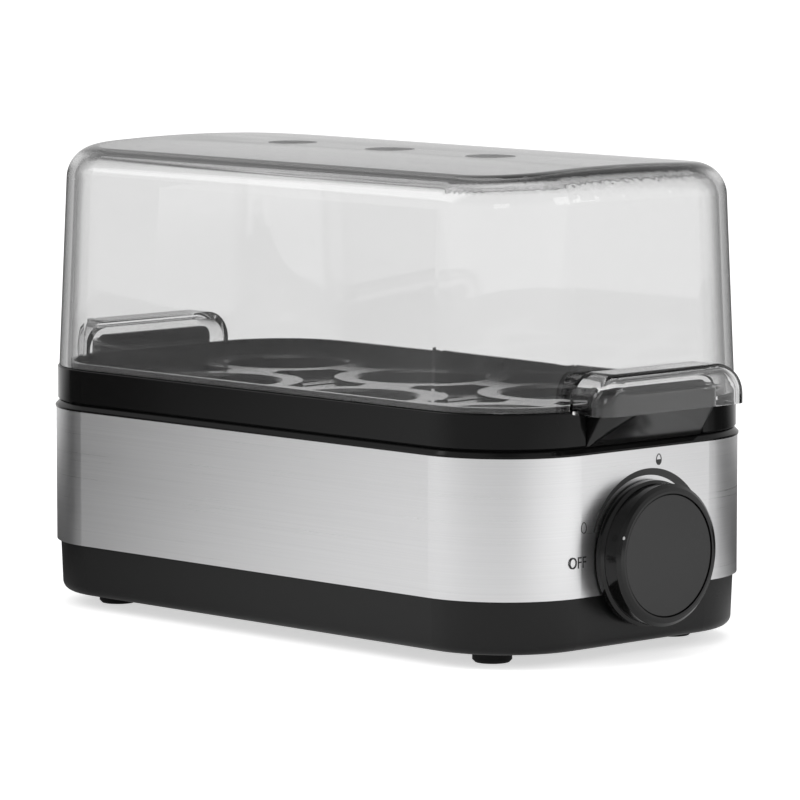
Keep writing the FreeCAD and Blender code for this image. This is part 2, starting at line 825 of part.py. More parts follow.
def plate_screws():
    """The screws that hold the straps under the plate."""
    screws = []
    seat = Z_SPREADER - s.strap_gauge
    for index, (x, y) in enumerate(PLATE_SCREWS):
        screw = body("plate_screw_%d" % index)
        revolve(screw, [
            (0.0, seat - s.screw_head_height), (s.screw_head_radius, seat - s.screw_head_height),
            (s.screw_head_radius, seat), (s.tap_radius, seat),
            (s.tap_radius, Z_SPREADER + s.tap_depth), (0.0, Z_SPREADER + s.tap_depth)], "V_Axis")
        screws.append(place(screw, x, y))
    return finish(group("plate_screw_set", screws), "plate_screws")


def tube(name, points, radius, bend):
    """A round tube along straight runs joined by tangent arcs."""
    run = [FreeCAD.Vector(*[number(part) for part in point]) for point in points]
    radius, bend = number(radius), number(bend)
    edges = []
    start = run[0]
    for before, corner, after in zip(run, run[1:], run[2:]):
        shorter = min((before - corner).Length, (after - corner).Length)
        inward = (before - corner).normalize()
        onward = (after - corner).normalize()
        half = inward.getAngle(onward) / 2
        reach = min(bend / math.tan(half), shorter / 2)
        swing = reach * math.tan(half)
        first = corner + inward * reach
        last = corner + onward * reach
        centre = corner + (inward + onward).normalize() * (swing / math.sin(half))
        middle = centre + (corner - centre).normalize() * swing
        if (first - start).Length > POINT_TOLERANCE:
            edges.append(Part.LineSegment(start, first).toShape())
        edges.append(Part.Arc(first, middle, last).toShape())
        start = last
    edges.append(Part.LineSegment(start, run[-1]).toShape())
    path = Part.Wire(edges)
    ring = Part.Wire([Part.Circle(run[0], run[1] - run[0], radius).toShape()])
    made = DOC.addObject("Part::Feature", name)
    made.Shape = path.makePipeShell([ring], True, False)
    return made


def heating_element():
    """The sheathed element: an open racetrack with a pin at each end."""
    half_gap = s.element_gap / 2
    end_x = ELEMENT_X
    side_y = ELEMENT_Y
    loop = tube("element_sheath", [
        (-half_gap, -side_y, Z_ELEMENT), (-end_x, -side_y, Z_ELEMENT), (-end_x, side_y, Z_ELEMENT),
        (end_x, side_y, Z_ELEMENT), (end_x, -side_y, Z_ELEMENT), (half_gap, -side_y, Z_ELEMENT)],
        s.element_radius, side_y)
    pins = []
    for side in (-1, 1):
        pin = DOC.addObject("Part::Cylinder", "element_pin")
        bind(pin, "Radius", s.pin_radius)
        bind(pin, "Height", s.pin_length * 2)
        start = (half_gap - s.pin_length) * side
        pins.append(place(pin, start, -side_y, Z_ELEMENT, (0, 1, 0), 90.0 * side))
    return finish(join("element_joined", [loop] + pins), "heating_element")


def blade_pair(owner, plane, level, length, first, second):
    """Two push-on terminal blades that stand on a face."""
    drawing = sketch(owner, plane, level)
    for x, y, along_x in (first, second):
        half_x = (s.blade_width if along_x else s.blade_gauge) / 2
        half_y = (s.blade_gauge if along_x else s.blade_width) / 2
        rectangle(drawing, x - half_x, x + half_x, y - half_y, y + half_y)
    return feature(owner, "Pad", drawing, length)


def thermostat():
    """The boil-dry thermostat pressed against the plate, with two blades below."""
    made = body("thermostat_body")
    centre = [(s.thermostat_x, 0.0)]
    round_posts(made, "Pad", Z_SPREADER - s.thermostat_cap_height, s.thermostat_cap_height,
                s.thermostat_cap_radius, centre)
    foot = Z_SPREADER - s.thermostat_height
    round_posts(made, "Pad", foot, s.thermostat_height - s.thermostat_cap_height,
                s.thermostat_radius, centre)
    blades = [(s.thermostat_x + s.blade_pitch / 2 * side, 0.0, False) for side in (-1, 1)]
    blade_pair(made, "XY", foot - s.blade_length, s.blade_length, *blades)
    return finish(made, "thermostat")


def strap(name, plane, lift, points, width):
    """A bent strip: an outline padded to its width, centred on the lifted plane."""
    made = body(name + "_body")
    drawing = sketch(made, plane, lift)
    polygon(drawing, points)
    pad = feature(made, "Pad", drawing, width)
    pad.SideType = "Symmetric"
    return made


def thermostat_strap():
    """The hat-shaped strap that holds the thermostat, with a hole for its body."""
    gauge = s.strap_gauge
    low = Z_SPREADER - s.thermostat_cap_height - gauge
    inner = s.thermostat_cap_radius + s.running_gap
    outer = inner + gauge
    reach = inner + s.strap_foot
    middle = s.thermostat_x
    made = strap("thermostat_strap", "XZ", 0.0, [
        (middle - reach, Z_SPREADER - gauge), (middle - outer, Z_SPREADER - gauge),
        (middle - outer, low), (middle + outer, low),
        (middle + outer, Z_SPREADER - gauge), (middle + reach, Z_SPREADER - gauge),
        (middle + reach, Z_SPREADER), (middle + inner, Z_SPREADER),
        (middle + inner, low + gauge), (middle - inner, low + gauge),
        (middle - inner, Z_SPREADER), (middle - reach, Z_SPREADER)], s.strap_width)
    round_posts(made, "Pocket", low + gauge + s.overrun, gauge + s.overrun * 2,
                s.thermostat_radius + s.running_gap, [(middle, 0.0)])
    round_posts(made, "Pocket", Z_SPREADER + s.overrun, gauge + s.overrun * 2,
                s.tap_radius + s.running_gap, PLATE_SCREWS[:2])
    return finish(made, "thermostat_strap")


def thermal_fuse():
    """The one-shot thermal fuse that lies along the plate."""
    made = DOC.addObject("Part::Cylinder", "fuse_barrel")
    bind(made, "Radius", s.fuse_radius)
    bind(made, "Height", s.fuse_length)
    place(made, -FUSE_X - s.fuse_length / 2, s.fuse_y, Z_SPREADER - s.fuse_radius, (0, 1, 0), 90.0)
    return finish(made, "thermal_fuse")


def fuse_clip():
    """The clip that presses the fuse to the plate."""
    gauge = s.strap_gauge
    near = s.fuse_y - s.fuse_radius - s.running_gap
    far = s.fuse_y + s.fuse_radius + s.running_gap
    low = Z_SPREADER - s.fuse_radius * 2 - s.running_gap
    made = strap("fuse_clip", "YZ", -FUSE_X, [
        (near - s.strap_foot, Z_SPREADER), (near - s.strap_foot, Z_SPREADER - gauge),
        (near - gauge, Z_SPREADER - gauge), (near - gauge, low - gauge),
        (far + gauge, low - gauge), (far + gauge, Z_SPREADER), (far, Z_SPREADER), (far, low),
        (near, low), (near, Z_SPREADER)], s.clip_width)
    round_posts(made, "Pocket", Z_SPREADER + s.overrun, gauge + s.overrun * 2,
                s.tap_radius + s.running_gap, PLATE_SCREWS[2:3])
    return finish(made, "fuse_clip")


def earth_tab():
    """The earth blade screwed to the plate."""
    gauge = s.strap_gauge
    made = strap("earth_tab", "XZ", 0.0, [
        (-EARTH_X, Z_SPREADER), (-EARTH_X - s.strap_foot, Z_SPREADER),
        (-EARTH_X - s.strap_foot, Z_SPREADER - gauge), (-EARTH_X - gauge, Z_SPREADER - gauge),
        (-EARTH_X - gauge, Z_SPREADER - s.blade_length), (-EARTH_X, Z_SPREADER - s.blade_length)],
        s.blade_width)
    round_posts(made, "Pocket", Z_SPREADER + s.overrun, gauge + s.overrun * 2,
                s.tap_radius + s.running_gap, PLATE_SCREWS[3:])
    return finish(made, "earth_tab")


# Control behind the dial, and the dial itself
def doneness_control():
    """The rotary control: a box inside the wall with a threaded bush through it."""
    made = body("doneness_control_body")
    drawing = sketch(made, "YZ", CONTROL_BACK)
    rectangle(drawing, -s.control_width / 2, s.control_width / 2,
              Z_DIAL - s.control_height / 2, Z_DIAL + s.control_height / 2)
    feature(made, "Pad", drawing, s.control_depth)
    soften(made, s.control_edge, lambda edge: edge_along(edge, (1, 0, 0)))
    round_posts(made, "Pad", CONTROL_FACE, BUSH_END - CONTROL_FACE, s.bush_radius,
                [(0.0, Z_DIAL)], "YZ")
    round_posts(made, "Pocket", BUSH_END + s.overrun,
                BUSH_END - SHAFT_START + s.running_gap + s.overrun,
                s.shaft_radius + s.running_gap, [(0.0, Z_DIAL)], "YZ")
    blades = [(s.blade_pitch * side, Z_DIAL, False) for side in (-1, 1)]
    blade_pair(made, "YZ", CONTROL_BACK - s.blade_length, s.blade_length, *blades)
    return finish(made, "doneness_control")


def control_nut():
    """The hexagon nut that clamps the bush to the wall."""
    made = body("control_nut_body")
    drawing = sketch(made, "YZ", WALL_X)
    corner_points = []
    for index in range(6):
        turn = math.radians(60 * index + 30)
        corner_points.append((s.nut_radius * math.cos(turn), Z_DIAL + s.nut_radius * math.sin(turn)))
    polygon(drawing, corner_points)
    circle(drawing, 0.0, Z_DIAL, s.bush_radius + s.running_gap)
    feature(made, "Pad", drawing, s.nut_gauge)
    return finish(made, "control_nut")


def flatted_circle(drawing, radius, flat):
    """Draw a circle with one flat, centred on the origin."""
    angle = math.degrees(math.acos(number(flat) / number(radius)))
    edge_y = math.sqrt(number(radius) ** 2 - number(flat) ** 2)
    add_arc(drawing, (0.0, 0.0), radius, angle, 360 - angle)
    add_line(drawing, (flat, -edge_y), (flat, edge_y))
    relate(drawing, "Coincident", 0, 3, -1, 1)
    relate(drawing, "Coincident", 0, 2, 1, 1)
    relate(drawing, "Coincident", 1, 2, 0, 1)
    relate(drawing, "Vertical", 1)
    dimension(drawing, "Radius", (0,), radius)
    dimension(drawing, "DistanceX", (-1, 1, 1, 1), flat)


def control_shaft():
    """The D-shaped shaft from the control into the knob."""
    made = body("control_shaft_body")
    drawing = sketch(made, "YZ", SHAFT_START)
    flatted_circle(drawing, s.shaft_radius, s.shaft_flat)
    feature(made, "Pad", drawing, SHAFT_END - SHAFT_START)
    place(made, 0.0, 0.0, Z_DIAL)
    return finish(made, "control_shaft")


def knob():
    """The hollow knob: flange, waist, rim, recess for its cap and the hub for the shaft."""
    made = body("knob_body")
    inner = s.knob_waist_radius - s.knob_wall
    web_rear = CAP_SEAT - s.knob_wall
    skirt_front = KNOB_REAR + s.knob_skirt_height
    rim_rear = KNOB_FRONT - s.knob_rim_height
    recess = s.cap_radius + s.running_gap
    chamfer_drop = s.knob_rim_radius - s.knob_face_radius
    revolve(made, [
        (BUSH_END + s.knob_hub_clearance, 0.0), (BUSH_END + s.knob_hub_clearance, s.knob_hub_radius),
        (web_rear, s.knob_hub_radius), (web_rear, inner), (KNOB_REAR, inner),
        (KNOB_REAR, s.knob_radius - s.knob_step / 2), (KNOB_REAR + s.knob_step / 2, s.knob_radius),
        (skirt_front, s.knob_radius), (skirt_front + s.knob_step, s.knob_waist_radius),
        (rim_rear - s.knob_step / 2, s.knob_waist_radius), (rim_rear, s.knob_rim_radius),
        (KNOB_FRONT - s.knob_chamfer, s.knob_rim_radius),
        (KNOB_FRONT - s.knob_chamfer / 4, s.knob_rim_radius - chamfer_drop / 2),
        (KNOB_FRONT, s.knob_face_radius), (KNOB_FRONT, recess), (CAP_SEAT, recess), (CAP_SEAT, 0.0)],
        "H_Axis")
    bore = sketch(made, "YZ", SHAFT_END)
    flatted_circle(bore, s.shaft_radius, s.shaft_flat)
    feature(made, "Pocket", bore, SHAFT_END - BUSH_END)
    place(made, 0.0, 0.0, Z_DIAL)
    return finish(made, "knob")


def knob_cap():
    """The disc set into the knob's face."""
    made = body("knob_cap_body")
    front = CAP_SEAT + s.cap_gauge
    revolve(made, [
        (CAP_SEAT, 0.0), (CAP_SEAT, s.cap_radius), (front - s.cap_edge, s.cap_radius),
        (front, s.cap_radius - s.cap_edge), (front, 0.0)], "H_Axis")
    place(made, 0.0, 0.0, Z_DIAL)
    return finish(made, "knob_cap")


# Mains entry, terminals and wiring
def cord_grommet():
    """The grommet in the -X wall that the mains cord would pass through."""
    made = body("cord_grommet_body")
    neck = s.inlet_hole_radius - s.running_gap
    face = -END_X + s.base_inset_high
    flange = face - s.grommet_flange_gauge
    snout = flange - s.grommet_snout
    inner_wall = -INNER_X
    inner_end = inner_wall + s.grommet_lip_gauge
    revolve(made, [
        (snout, s.grommet_bore_radius), (snout, neck - s.grommet_lip / 2), (flange, neck),
        (flange, s.grommet_flange_radius), (face, s.grommet_flange_radius), (face, neck),
        (inner_wall, neck), (inner_wall, neck + s.grommet_lip), (inner_end, neck),
        (inner_end, s.grommet_bore_radius)], "H_Axis")
    place(made, 0.0, s.inlet_y, Z_INLET)
    return finish(made, "cord_grommet")


POLES = (-1, 0, 1)
Z_POLE = Z_FLOOR + s.block_height / 2


def terminal_block():
    """The three-pole terminal block on the floor."""
    made = body("terminal_block_body")
    drawing = sketch(made, "XY", Z_FLOOR)
    back = -BLOCK_X - s.block_length / 2
    front = -BLOCK_X + s.block_length / 2
    rectangle(drawing, back, front, -s.block_width / 2, s.block_width / 2)
    feature(made, "Pad", drawing, s.block_height)
    top = Z_FLOOR + s.block_height
    grooves = sketch(made, "XY", top)
    for side in (-1, 1):
        middle = s.pole_pitch / 2 * side
        rectangle(grooves, back - s.overrun, front + s.overrun,
                  middle - s.block_groove / 2, middle + s.block_groove / 2)
    feature(made, "Pocket", grooves, s.block_groove_depth)
    poles = [(s.pole_pitch * pole, Z_POLE) for pole in POLES]
    for level, turned in ((front, False), (back, True)):
        entry = round_posts(made, "Pocket", level, s.pole_entry, s.pole_bore_radius, poles, "YZ")
        entry.Reversed = turned
    round_posts(made, "Pocket", top, s.block_screw_depth, s.block_screw_radius / 2, terminal_places())
    return finish(made, "terminal_block")


def terminal_places():
    """Where the six clamping screws stand."""
    reach = s.block_length / 4
    return [(-BLOCK_X + reach * side, s.pole_pitch * pole) for pole in POLES for side in (-1, 1)]


def terminal_screws():
    """The six clamping screws of the terminal block."""
    screws = []
    top = Z_FLOOR + s.block_height
    for index, (x, y) in enumerate(terminal_places()):
        screw = body("terminal_screw_%d" % index)
        revolve(screw, [
            (0.0, top - s.block_screw_depth), (s.block_screw_radius / 2, top - s.block_screw_depth),
            (s.block_screw_radius / 2, top), (s.block_screw_radius, top),
            (s.block_screw_radius, top + s.block_screw_head), (0.0, top + s.block_screw_head)],
            "V_Axis")
        screws.append(place(screw, x, y))
    return finish(group("terminal_screw_set", screws), "terminal_screws")


def leads():
    """The leads between the terminals, the control, the thermostat, the fuse and the element."""
    run = s.wire_run
    low = Z_POLE + s.wire_lift
    level = Z_ELEMENT - s.wire_drop
    block = -BLOCK_X + s.block_length / 2 - s.pole_entry
    outside = -BLOCK_X + s.block_length / 2 + run
    rib = -RIB_X + run
    pole = s.pole_pitch
    back = CONTROL_BACK - s.blade_length
    side = s.blade_pitch
    element_y = -ELEMENT_Y
    pin_x = s.element_gap / 2 - s.pin_length
    drop_x = s.wire_radius * 2
    blade_foot = Z_SPREADER - s.thermostat_height - s.blade_length
    near_blade = s.thermostat_x - s.blade_pitch / 2
    far_blade = s.thermostat_x + s.blade_pitch / 2
    fuse_z = Z_SPREADER - s.fuse_radius
    fuse_end = -FUSE_X + s.fuse_length / 2
    fuse_start = -FUSE_X - s.fuse_length / 2
    earth_z = Z_SPREADER - s.blade_length
    earth_blade = -EARTH_X - s.strap_gauge / 2
    routes = {
        "live_lead": [
            (block, pole, Z_POLE), (outside, pole, Z_POLE), (rib, pole, low),
            (back - run * 4, pole, low), (back - run, side, Z_DIAL), (back, side, Z_DIAL)],
        "switched_lead": [
            (back, -side, Z_DIAL), (back - run, -side, Z_DIAL), (back - run * 4, element_y, level),
            (drop_x + run, element_y, level), (drop_x, element_y, level + run),
            (drop_x, element_y, Z_ELEMENT), (pin_x, element_y, Z_ELEMENT)],
        "neutral_lead": [
            (block, -pole, Z_POLE), (outside, -pole, Z_POLE), (rib, -pole, low),
            (near_blade - run * 2, -pole, low), (near_blade, 0.0, low), (near_blade, 0.0, blade_foot)],
        "link_lead": [
            (far_blade, 0.0, blade_foot), (far_blade, 0.0, blade_foot - run / 2),
            (s.thermostat_x, s.fuse_y, blade_foot - run), (fuse_end + run * 2, s.fuse_y, level),
            (fuse_end + run, s.fuse_y, fuse_z), (fuse_end, s.fuse_y, fuse_z)],
        "return_lead": [
            (fuse_start, s.fuse_y, fuse_z), (fuse_start - run / 2, s.fuse_y, fuse_z),
            (fuse_start - run / 2, 0.0, level), (-FUSE_X - run, element_y / 2, level),
            (-drop_x - run, element_y, level), (-drop_x, element_y, level + run),
            (-drop_x, element_y, Z_ELEMENT), (-pin_x, element_y, Z_ELEMENT)],
        "earth_lead": [
            (block, 0.0, Z_POLE), (outside, 0.0, Z_POLE), (rib, 0.0, low),
            (earth_blade, 0.0, low + run), (earth_blade, 0.0, earth_z)],
    }
    for name, points in routes.items():
        finish(tube(name + "_tube", points, s.wire_radius, s.wire_bend), name)


# Egg tray with a grip moulded on at each end
GRIP_BACK = NOTCH_X + s.seat_gap
GRIP_FACE = END_X - s.collar_inset
RISER_BACK = END_X - s.lid_inset + s.seat_gap
RISER_FRONT = RISER_BACK + s.grip_wall
Z_GRIP = Z_BAND + s.seat_gap
Z_FLARE = Z_GRIP + s.grip_flare_height


def egg_places():
    """Where the six eggs stand: two rows, staggered."""
    places = []
    for step in (-1, 0, 1):
        places.append((EGG_PITCH * step - s.egg_stagger, EGG_ROW))
        places.append((EGG_PITCH * step + s.egg_stagger, -EGG_ROW))
    return places


def grip(name, turn):
    """One end grip: arm through the collar's notch, flared scoop, lip and riser."""
    made = body(name)
    face_x = GRIP_FACE + s.grip_reach
    slope = s.grip_reach / s.grip_flare_height
    wall_x = s.grip_wall * root(slope * slope + 1)
    low = sketch(made, "XY", Z_GRIP)
    nose_outline(low, GRIP_BACK, GRIP_FACE, GRIP_FOOT_HALF, s.grip_foot_corner)
    high = sketch(made, "XY", Z_FLARE)
    nose_outline(high, GRIP_BACK, face_x, GRIP_HALF, s.grip_corner)
    loft(made, "AdditiveLoft", [low, high])
    # lip above the flare, stepped back a little
    lip_x = face_x - s.grip_lip_step
    lip_corner = s.grip_corner - s.grip_lip_step
    lip_half = GRIP_HALF - s.grip_lip_step
    lip = sketch(made, "XY", Z_FLARE)
    nose_outline(lip, RISER_BACK, lip_x, lip_half, lip_corner)
    feature(made, "Pad", lip, s.grip_lip_height)
    # channel for the fingertips, behind the lip and down into the flare
    void = sketch(made, "XY", Z_FLARE + s.grip_lip_height)
    nose_outline(void, RISER_BACK, lip_x - s.grip_wall, lip_half - s.grip_wall,
                 lip_corner - s.grip_wall)
    feature(made, "Pocket", void, s.grip_lip_height)
    floor_x = face_x - wall_x - slope * s.grip_floor_drop
    mouth = sketch(made, "XY", Z_FLARE)
    nose_outline(mouth, RISER_FRONT, face_x - wall_x, lip_half - s.grip_wall,
                 lip_corner - s.grip_wall)
    bottom = sketch(made, "XY", Z_FLARE - s.grip_floor_drop)
    nose_outline(bottom, RISER_FRONT, floor_x, lip_half - s.grip_wall, s.grip_floor_corner)
    loft(made, "SubtractiveLoft", [mouth, bottom])
    # riser against the lid's end wall
    riser = sketch(made, "YZ", RISER_BACK)
    rectangle(riser, -GRIP_HALF, GRIP_HALF,
              Z_FLARE - s.grip_floor_drop, Z_FLARE + s.riser_height)
    feature(made, "Pad", riser, s.grip_wall)
    top = (Z_FLARE + s.riser_height).mm
    soften(made, s.riser_corner,
           lambda edge: edge_along(edge, (1, 0, 0)) and edge.BoundBox.ZMin > top - s.slip_gap.mm)
    # arm that runs inwards under the lid's edge
    arm = sketch(made, "YZ", END_X - s.rim_inset - s.rim_wall + s.slip_gap)
    rectangle(arm, -GRIP_HALF, GRIP_HALF, Z_LEDGE + s.seat_gap, Z_LID - s.arm_drop)
    feature(made, "Pad", arm, RISER_FRONT - (END_X - s.rim_inset - s.rim_wall + s.slip_gap))
    return place(made, 0.0, 0.0, 0.0, (0, 0, 1), turn)


def egg_tray():
    """The lift-out tray: rim, plate, six seat rings, webs, steam slots and the two grips."""
    made = body("tray_plate_body")
    ring_pad(made, Z_LEDGE + s.seat_gap, Z_RIM + s.rim_rise - Z_LEDGE - s.seat_gap,
             s.rim_inset, s.rim_inset + s.rim_wall)
    ring_pad(made, Z_TRAY, s.web_gauge, s.rim_inset + s.rim_wall / 2)
    raised = Z_RING - Z_TRAY
    places = egg_places()
    round_posts(made, "Pad", Z_TRAY, raised, s.egg_hole_radius + s.egg_ring_width, places)
    necks = sketch(made, "XY", Z_TRAY)
    for row in (-1, 1):
        for step in (-1, 0):
            start = EGG_PITCH * step - s.egg_stagger * row
            rectangle(necks, start + s.egg_hole_radius, start + EGG_PITCH - s.egg_hole_radius,
                      EGG_ROW * row - s.neck_half_width, EGG_ROW * row + s.neck_half_width)
    feature(made, "Pad", necks, raised)
    bridges = sketch(made, "XY", Z_TRAY)
    for step in (-1, 0, 1):
        back_x = EGG_PITCH * step - s.egg_stagger / 2
        front_x = EGG_PITCH * step + s.egg_stagger / 2
        half = s.bridge_half_width
        reach = EGG_ROW / 2
        polygon(bridges, [(front_x - half, -reach), (front_x + half, -reach),
                          (back_x + half, reach), (back_x - half, reach)])
    feature(made, "Pad", bridges, raised)
    round_posts(made, "Pocket", Z_RING + s.overrun, raised + s.overrun * 2, s.egg_hole_radius, places)
    hole = s.egg_hole_radius.mm
    soften(made, s.egg_seat_chamfer,
           lambda edge: flat_at(edge, Z_RING) and isinstance(edge.Curve, Part.Circle)
           and abs(edge.Curve.Radius - hole) < s.slip_gap.mm, "Chamfer")
    # steam slots between the rings, and one in each free corner past the last ring
    slots = sketch(made, "XY", Z_TRAY + s.web_gauge + s.overrun)
    last_ring = EGG_PITCH - s.egg_stagger + s.egg_hole_radius + s.egg_ring_width
    corner_x = (last_ring + END_X - s.rim_inset - s.rim_wall) / 2
    for side in (-1, 1):
        for step in (-1, 0, 1):
            middle = EGG_PITCH / 2 * side + s.slot_pitch * step
            rectangle(slots, middle - s.slot_width / 2, middle + s.slot_width / 2,
                      -s.slot_length / 2, s.slot_length / 2)
        corner = corner_x * side
        row = EGG_ROW * side
        rectangle(slots, corner - s.slot_width / 2, corner + s.slot_width / 2,
                  row - s.slot_length / 2, row + s.slot_length / 2)
    feature(made, "Pocket", slots, s.web_gauge + s.overrun * 2)
    grips = [grip("tray_grip_right", 0.0), grip("tray_grip_left", 180.0)]
    return finish(join("tray_joined", [made] + grips), "egg_tray")


# Clear lid
def dome(name, inset, top, fillet, crown):
    """A drafted block of the lid's outline under a crowned top, its top edge rounded."""
    made = body(name)
    low = sketch(made, "XY", Z_LID)
    outline(low, inset)
    high = sketch(made, "XY", Z_LID_TOP + s.overrun)
    outline(high, inset + s.lid_draft_inset)
    loft(made, "AdditiveLoft", [low, high])
    # everything above the crown, an arc about the long axis, is cut away
    crown_cut = sketch(made, "YZ", END_X + s.overrun)
    reach = SIDE_Y + s.overrun
    centre_z = top - crown
    edge_z = centre_z.mm + math.sqrt(crown.mm ** 2 - reach.mm ** 2)
    half_angle = math.degrees(math.asin(reach.mm / crown.mm))
    ceiling = Z_LID_TOP + s.overrun * 2
    add_arc(crown_cut, (0.0, centre_z), crown, 90 - half_angle, 90 + half_angle)
    add_line(crown_cut, (-reach, edge_z), (-reach, ceiling))
    add_line(crown_cut, (-reach, ceiling), (reach, ceiling))
    add_line(crown_cut, (reach, ceiling), (reach, edge_z))
    for index in range(4):
        relate(crown_cut, "Coincident", index, 2, (index + 1) % 4, 1)
    relate(crown_cut, "Horizontal", 2)
    pin_point(crown_cut, 0, 3, 0.0, centre_z)
    dimension(crown_cut, "Radius", (0,), crown)
    relate(crown_cut, "Vertical", 1)
    relate(crown_cut, "Vertical", 3)
    pin_point(crown_cut, 1, 2, -reach, ceiling)
    dimension(crown_cut, "DistanceX", (-1, 1, 2, 2), reach)
    feature(made, "Pocket", crown_cut, s.body_length + s.overrun * 2)
    waist = (Z_LID + s.lid_rise / 2).mm
    soften(made, fillet, lambda edge: edge.BoundBox.ZMin > waist)
    return made


def hood_form(name, turn, inset):
    """One hood over a grip: a box rounded along its roof and round its outer face."""
    made = body(name)
    start_x = END_X - s.lid_inset - s.lid_wall / 2
    half = s.hood_half_width - inset
    top = Z_LID + s.hood_height - inset
    bottom = Z_LID - s.hood_drop
    if number(inset) > 0:
        bottom = bottom - s.overrun
    drawing = sketch(made, "YZ", start_x)
    rectangle(drawing, -half, half, bottom, top)
    feature(made, "Pad", drawing, END_X + s.hood_reach - inset - start_x)
    soften(made, s.hood_corner - inset,
           lambda edge: edge_along(edge, (1, 0, 0)) and edge.BoundBox.ZMin > Z_LID.mm)
    face = (END_X + s.hood_reach - inset).mm
    soften(made, s.hood_edge - inset,
           lambda edge: edge.BoundBox.XMin > face - s.slip_gap.mm
           and edge.BoundBox.ZMax > Z_LID.mm)
    if number(inset) == 0:
        # room below for the arm and the collar
        clear = sketch(made, "XZ", half + s.overrun)
        rectangle(clear, start_x - s.overrun, END_X - s.collar_inset + s.seat_gap,
                  bottom - s.overrun, Z_LID)
        feature(made, "Pocket", clear, (half + s.overrun) * 2)
    return place(made, 0.0, 0.0, 0.0, (0, 0, 1), turn)


def lid():
    """The smoky clear lid with a hood at each end and three steam holes."""
    outer = dome("lid_outer_form", s.lid_inset, Z_LID_TOP, s.lid_fillet, s.lid_crown_radius)
    inner = dome("lid_inner_form", s.lid_inset + s.lid_wall, Z_LID_TOP - s.lid_wall,
                 s.lid_fillet - s.lid_wall, s.lid_crown_radius - s.lid_wall)
    pieces = [cut("lid_shell", outer, inner)]
    for name, turn in (("right", 0.0), ("left", 180.0)):
        outside = hood_form("hood_outer_" + name, turn, 0.0)
        inside = hood_form("hood_inner_" + name, turn, s.hood_wall)
        pieces.append(cut("hood_" + name, outside, inside))
    tools = []
    for step in (-1, 0, 1):
        drill = DOC.addObject("Part::Cylinder", "steam_hole")
        bind(drill, "Radius", s.steam_hole_radius)
        bind(drill, "Height", s.lid_wall * 2 + s.overrun)
        tools.append(place(drill, s.steam_hole_pitch * step, 0.0, Z_LID_TOP - s.lid_wall * 2))
    return finish(cut("lid_drilled", join("lid_joined", pieces), join("steam_holes", tools)), "lid")


def check_and_export():
    """Stop on any failed object or bad shape, then write one file for each piece."""
    DOC.recompute()
    failed = []
    for thing in DOC.Objects:
        if "Invalid" in thing.State or "Error" in thing.State:
            owners = [owner.Label for owner in thing.InList]
            failed.append("%s of %s: %s" % (thing.Name, owners, thing.getStatusString()))
    for thing in FINISHED:
        if thing.Shape.isNull() or not thing.Shape.isValid() or not thing.Shape.Solids:
            failed.append("%s has a bad shape" % thing.Label)
    if failed:
        raise RuntimeError("\n".join(failed))
    os.makedirs("parts", exist_ok=True)
    for thing in FINISHED:
        thing.Shape.exportStep(os.path.join("parts", thing.Label + ".step"))
        box = thing.Shape.BoundBox
        print("%-20s solids %d volume %9.1f  x %.2f..%.2f y %.2f..%.2f z %.2f..%.2f" % (
            thing.Label, len(thing.Shape.Solids), thing.Shape.Volume,
            box.XMin, box.XMax, box.YMin, box.YMax, box.ZMin, box.ZMax))


for make in (base_shell, rubber_feet, housing_screws, steel_band, shoulder_ring, upper_collar,
             pan_seal, water_pan, spreader_plate, plate_screws, heating_element, thermostat,
             thermostat_strap, thermal_fuse, fuse_clip, earth_tab, doneness_control, control_nut,
             control_shaft, knob, knob_cap, cord_grommet, terminal_block, terminal_screws, leads,
             egg_tray, lid):
    make()
check_and_export()
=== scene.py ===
"""Six-egg boiler: finishes, printed marks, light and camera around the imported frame.

Lengths are metres. +X is the end with the dial, -Y the long front face, +Z up, and
the origin is on the table under the middle of the body.
"""

import json
import logging
import math
from collections.abc import Callable, Iterator
from contextlib import contextmanager
from dataclasses import dataclass
from enum import Enum

import bmesh
import bpy
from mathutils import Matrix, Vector


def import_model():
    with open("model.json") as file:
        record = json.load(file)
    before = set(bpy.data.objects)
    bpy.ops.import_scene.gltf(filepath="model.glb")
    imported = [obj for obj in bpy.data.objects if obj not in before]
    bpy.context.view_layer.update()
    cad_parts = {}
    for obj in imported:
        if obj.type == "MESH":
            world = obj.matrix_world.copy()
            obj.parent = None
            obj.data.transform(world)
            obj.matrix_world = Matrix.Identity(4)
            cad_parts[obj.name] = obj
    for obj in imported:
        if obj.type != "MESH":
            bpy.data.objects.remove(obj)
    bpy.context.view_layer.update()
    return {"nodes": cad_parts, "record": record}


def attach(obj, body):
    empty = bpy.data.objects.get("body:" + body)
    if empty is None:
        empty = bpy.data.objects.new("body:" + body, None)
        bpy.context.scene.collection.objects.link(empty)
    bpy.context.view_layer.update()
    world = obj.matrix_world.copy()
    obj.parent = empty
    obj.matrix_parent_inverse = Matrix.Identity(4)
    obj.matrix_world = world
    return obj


LOG = logging.getLogger("egg_boiler")
MM = 0.001
ORIGIN = (0.0, 0.0, 0.0)
UP = (0.0, 0.0, 1.0)
LEVEL = (1.0, 1.0, 0.0)
WHITE = (1.0, 1.0, 1.0, 1.0)
NOISE_ROUGHNESS = 0.55


class Body(Enum):
    """The bodies that a piece may ride on."""

    HOUSING = "root"
    TRAY = "tray"
    COVER = "lid_cover"
    DIAL = "dial"


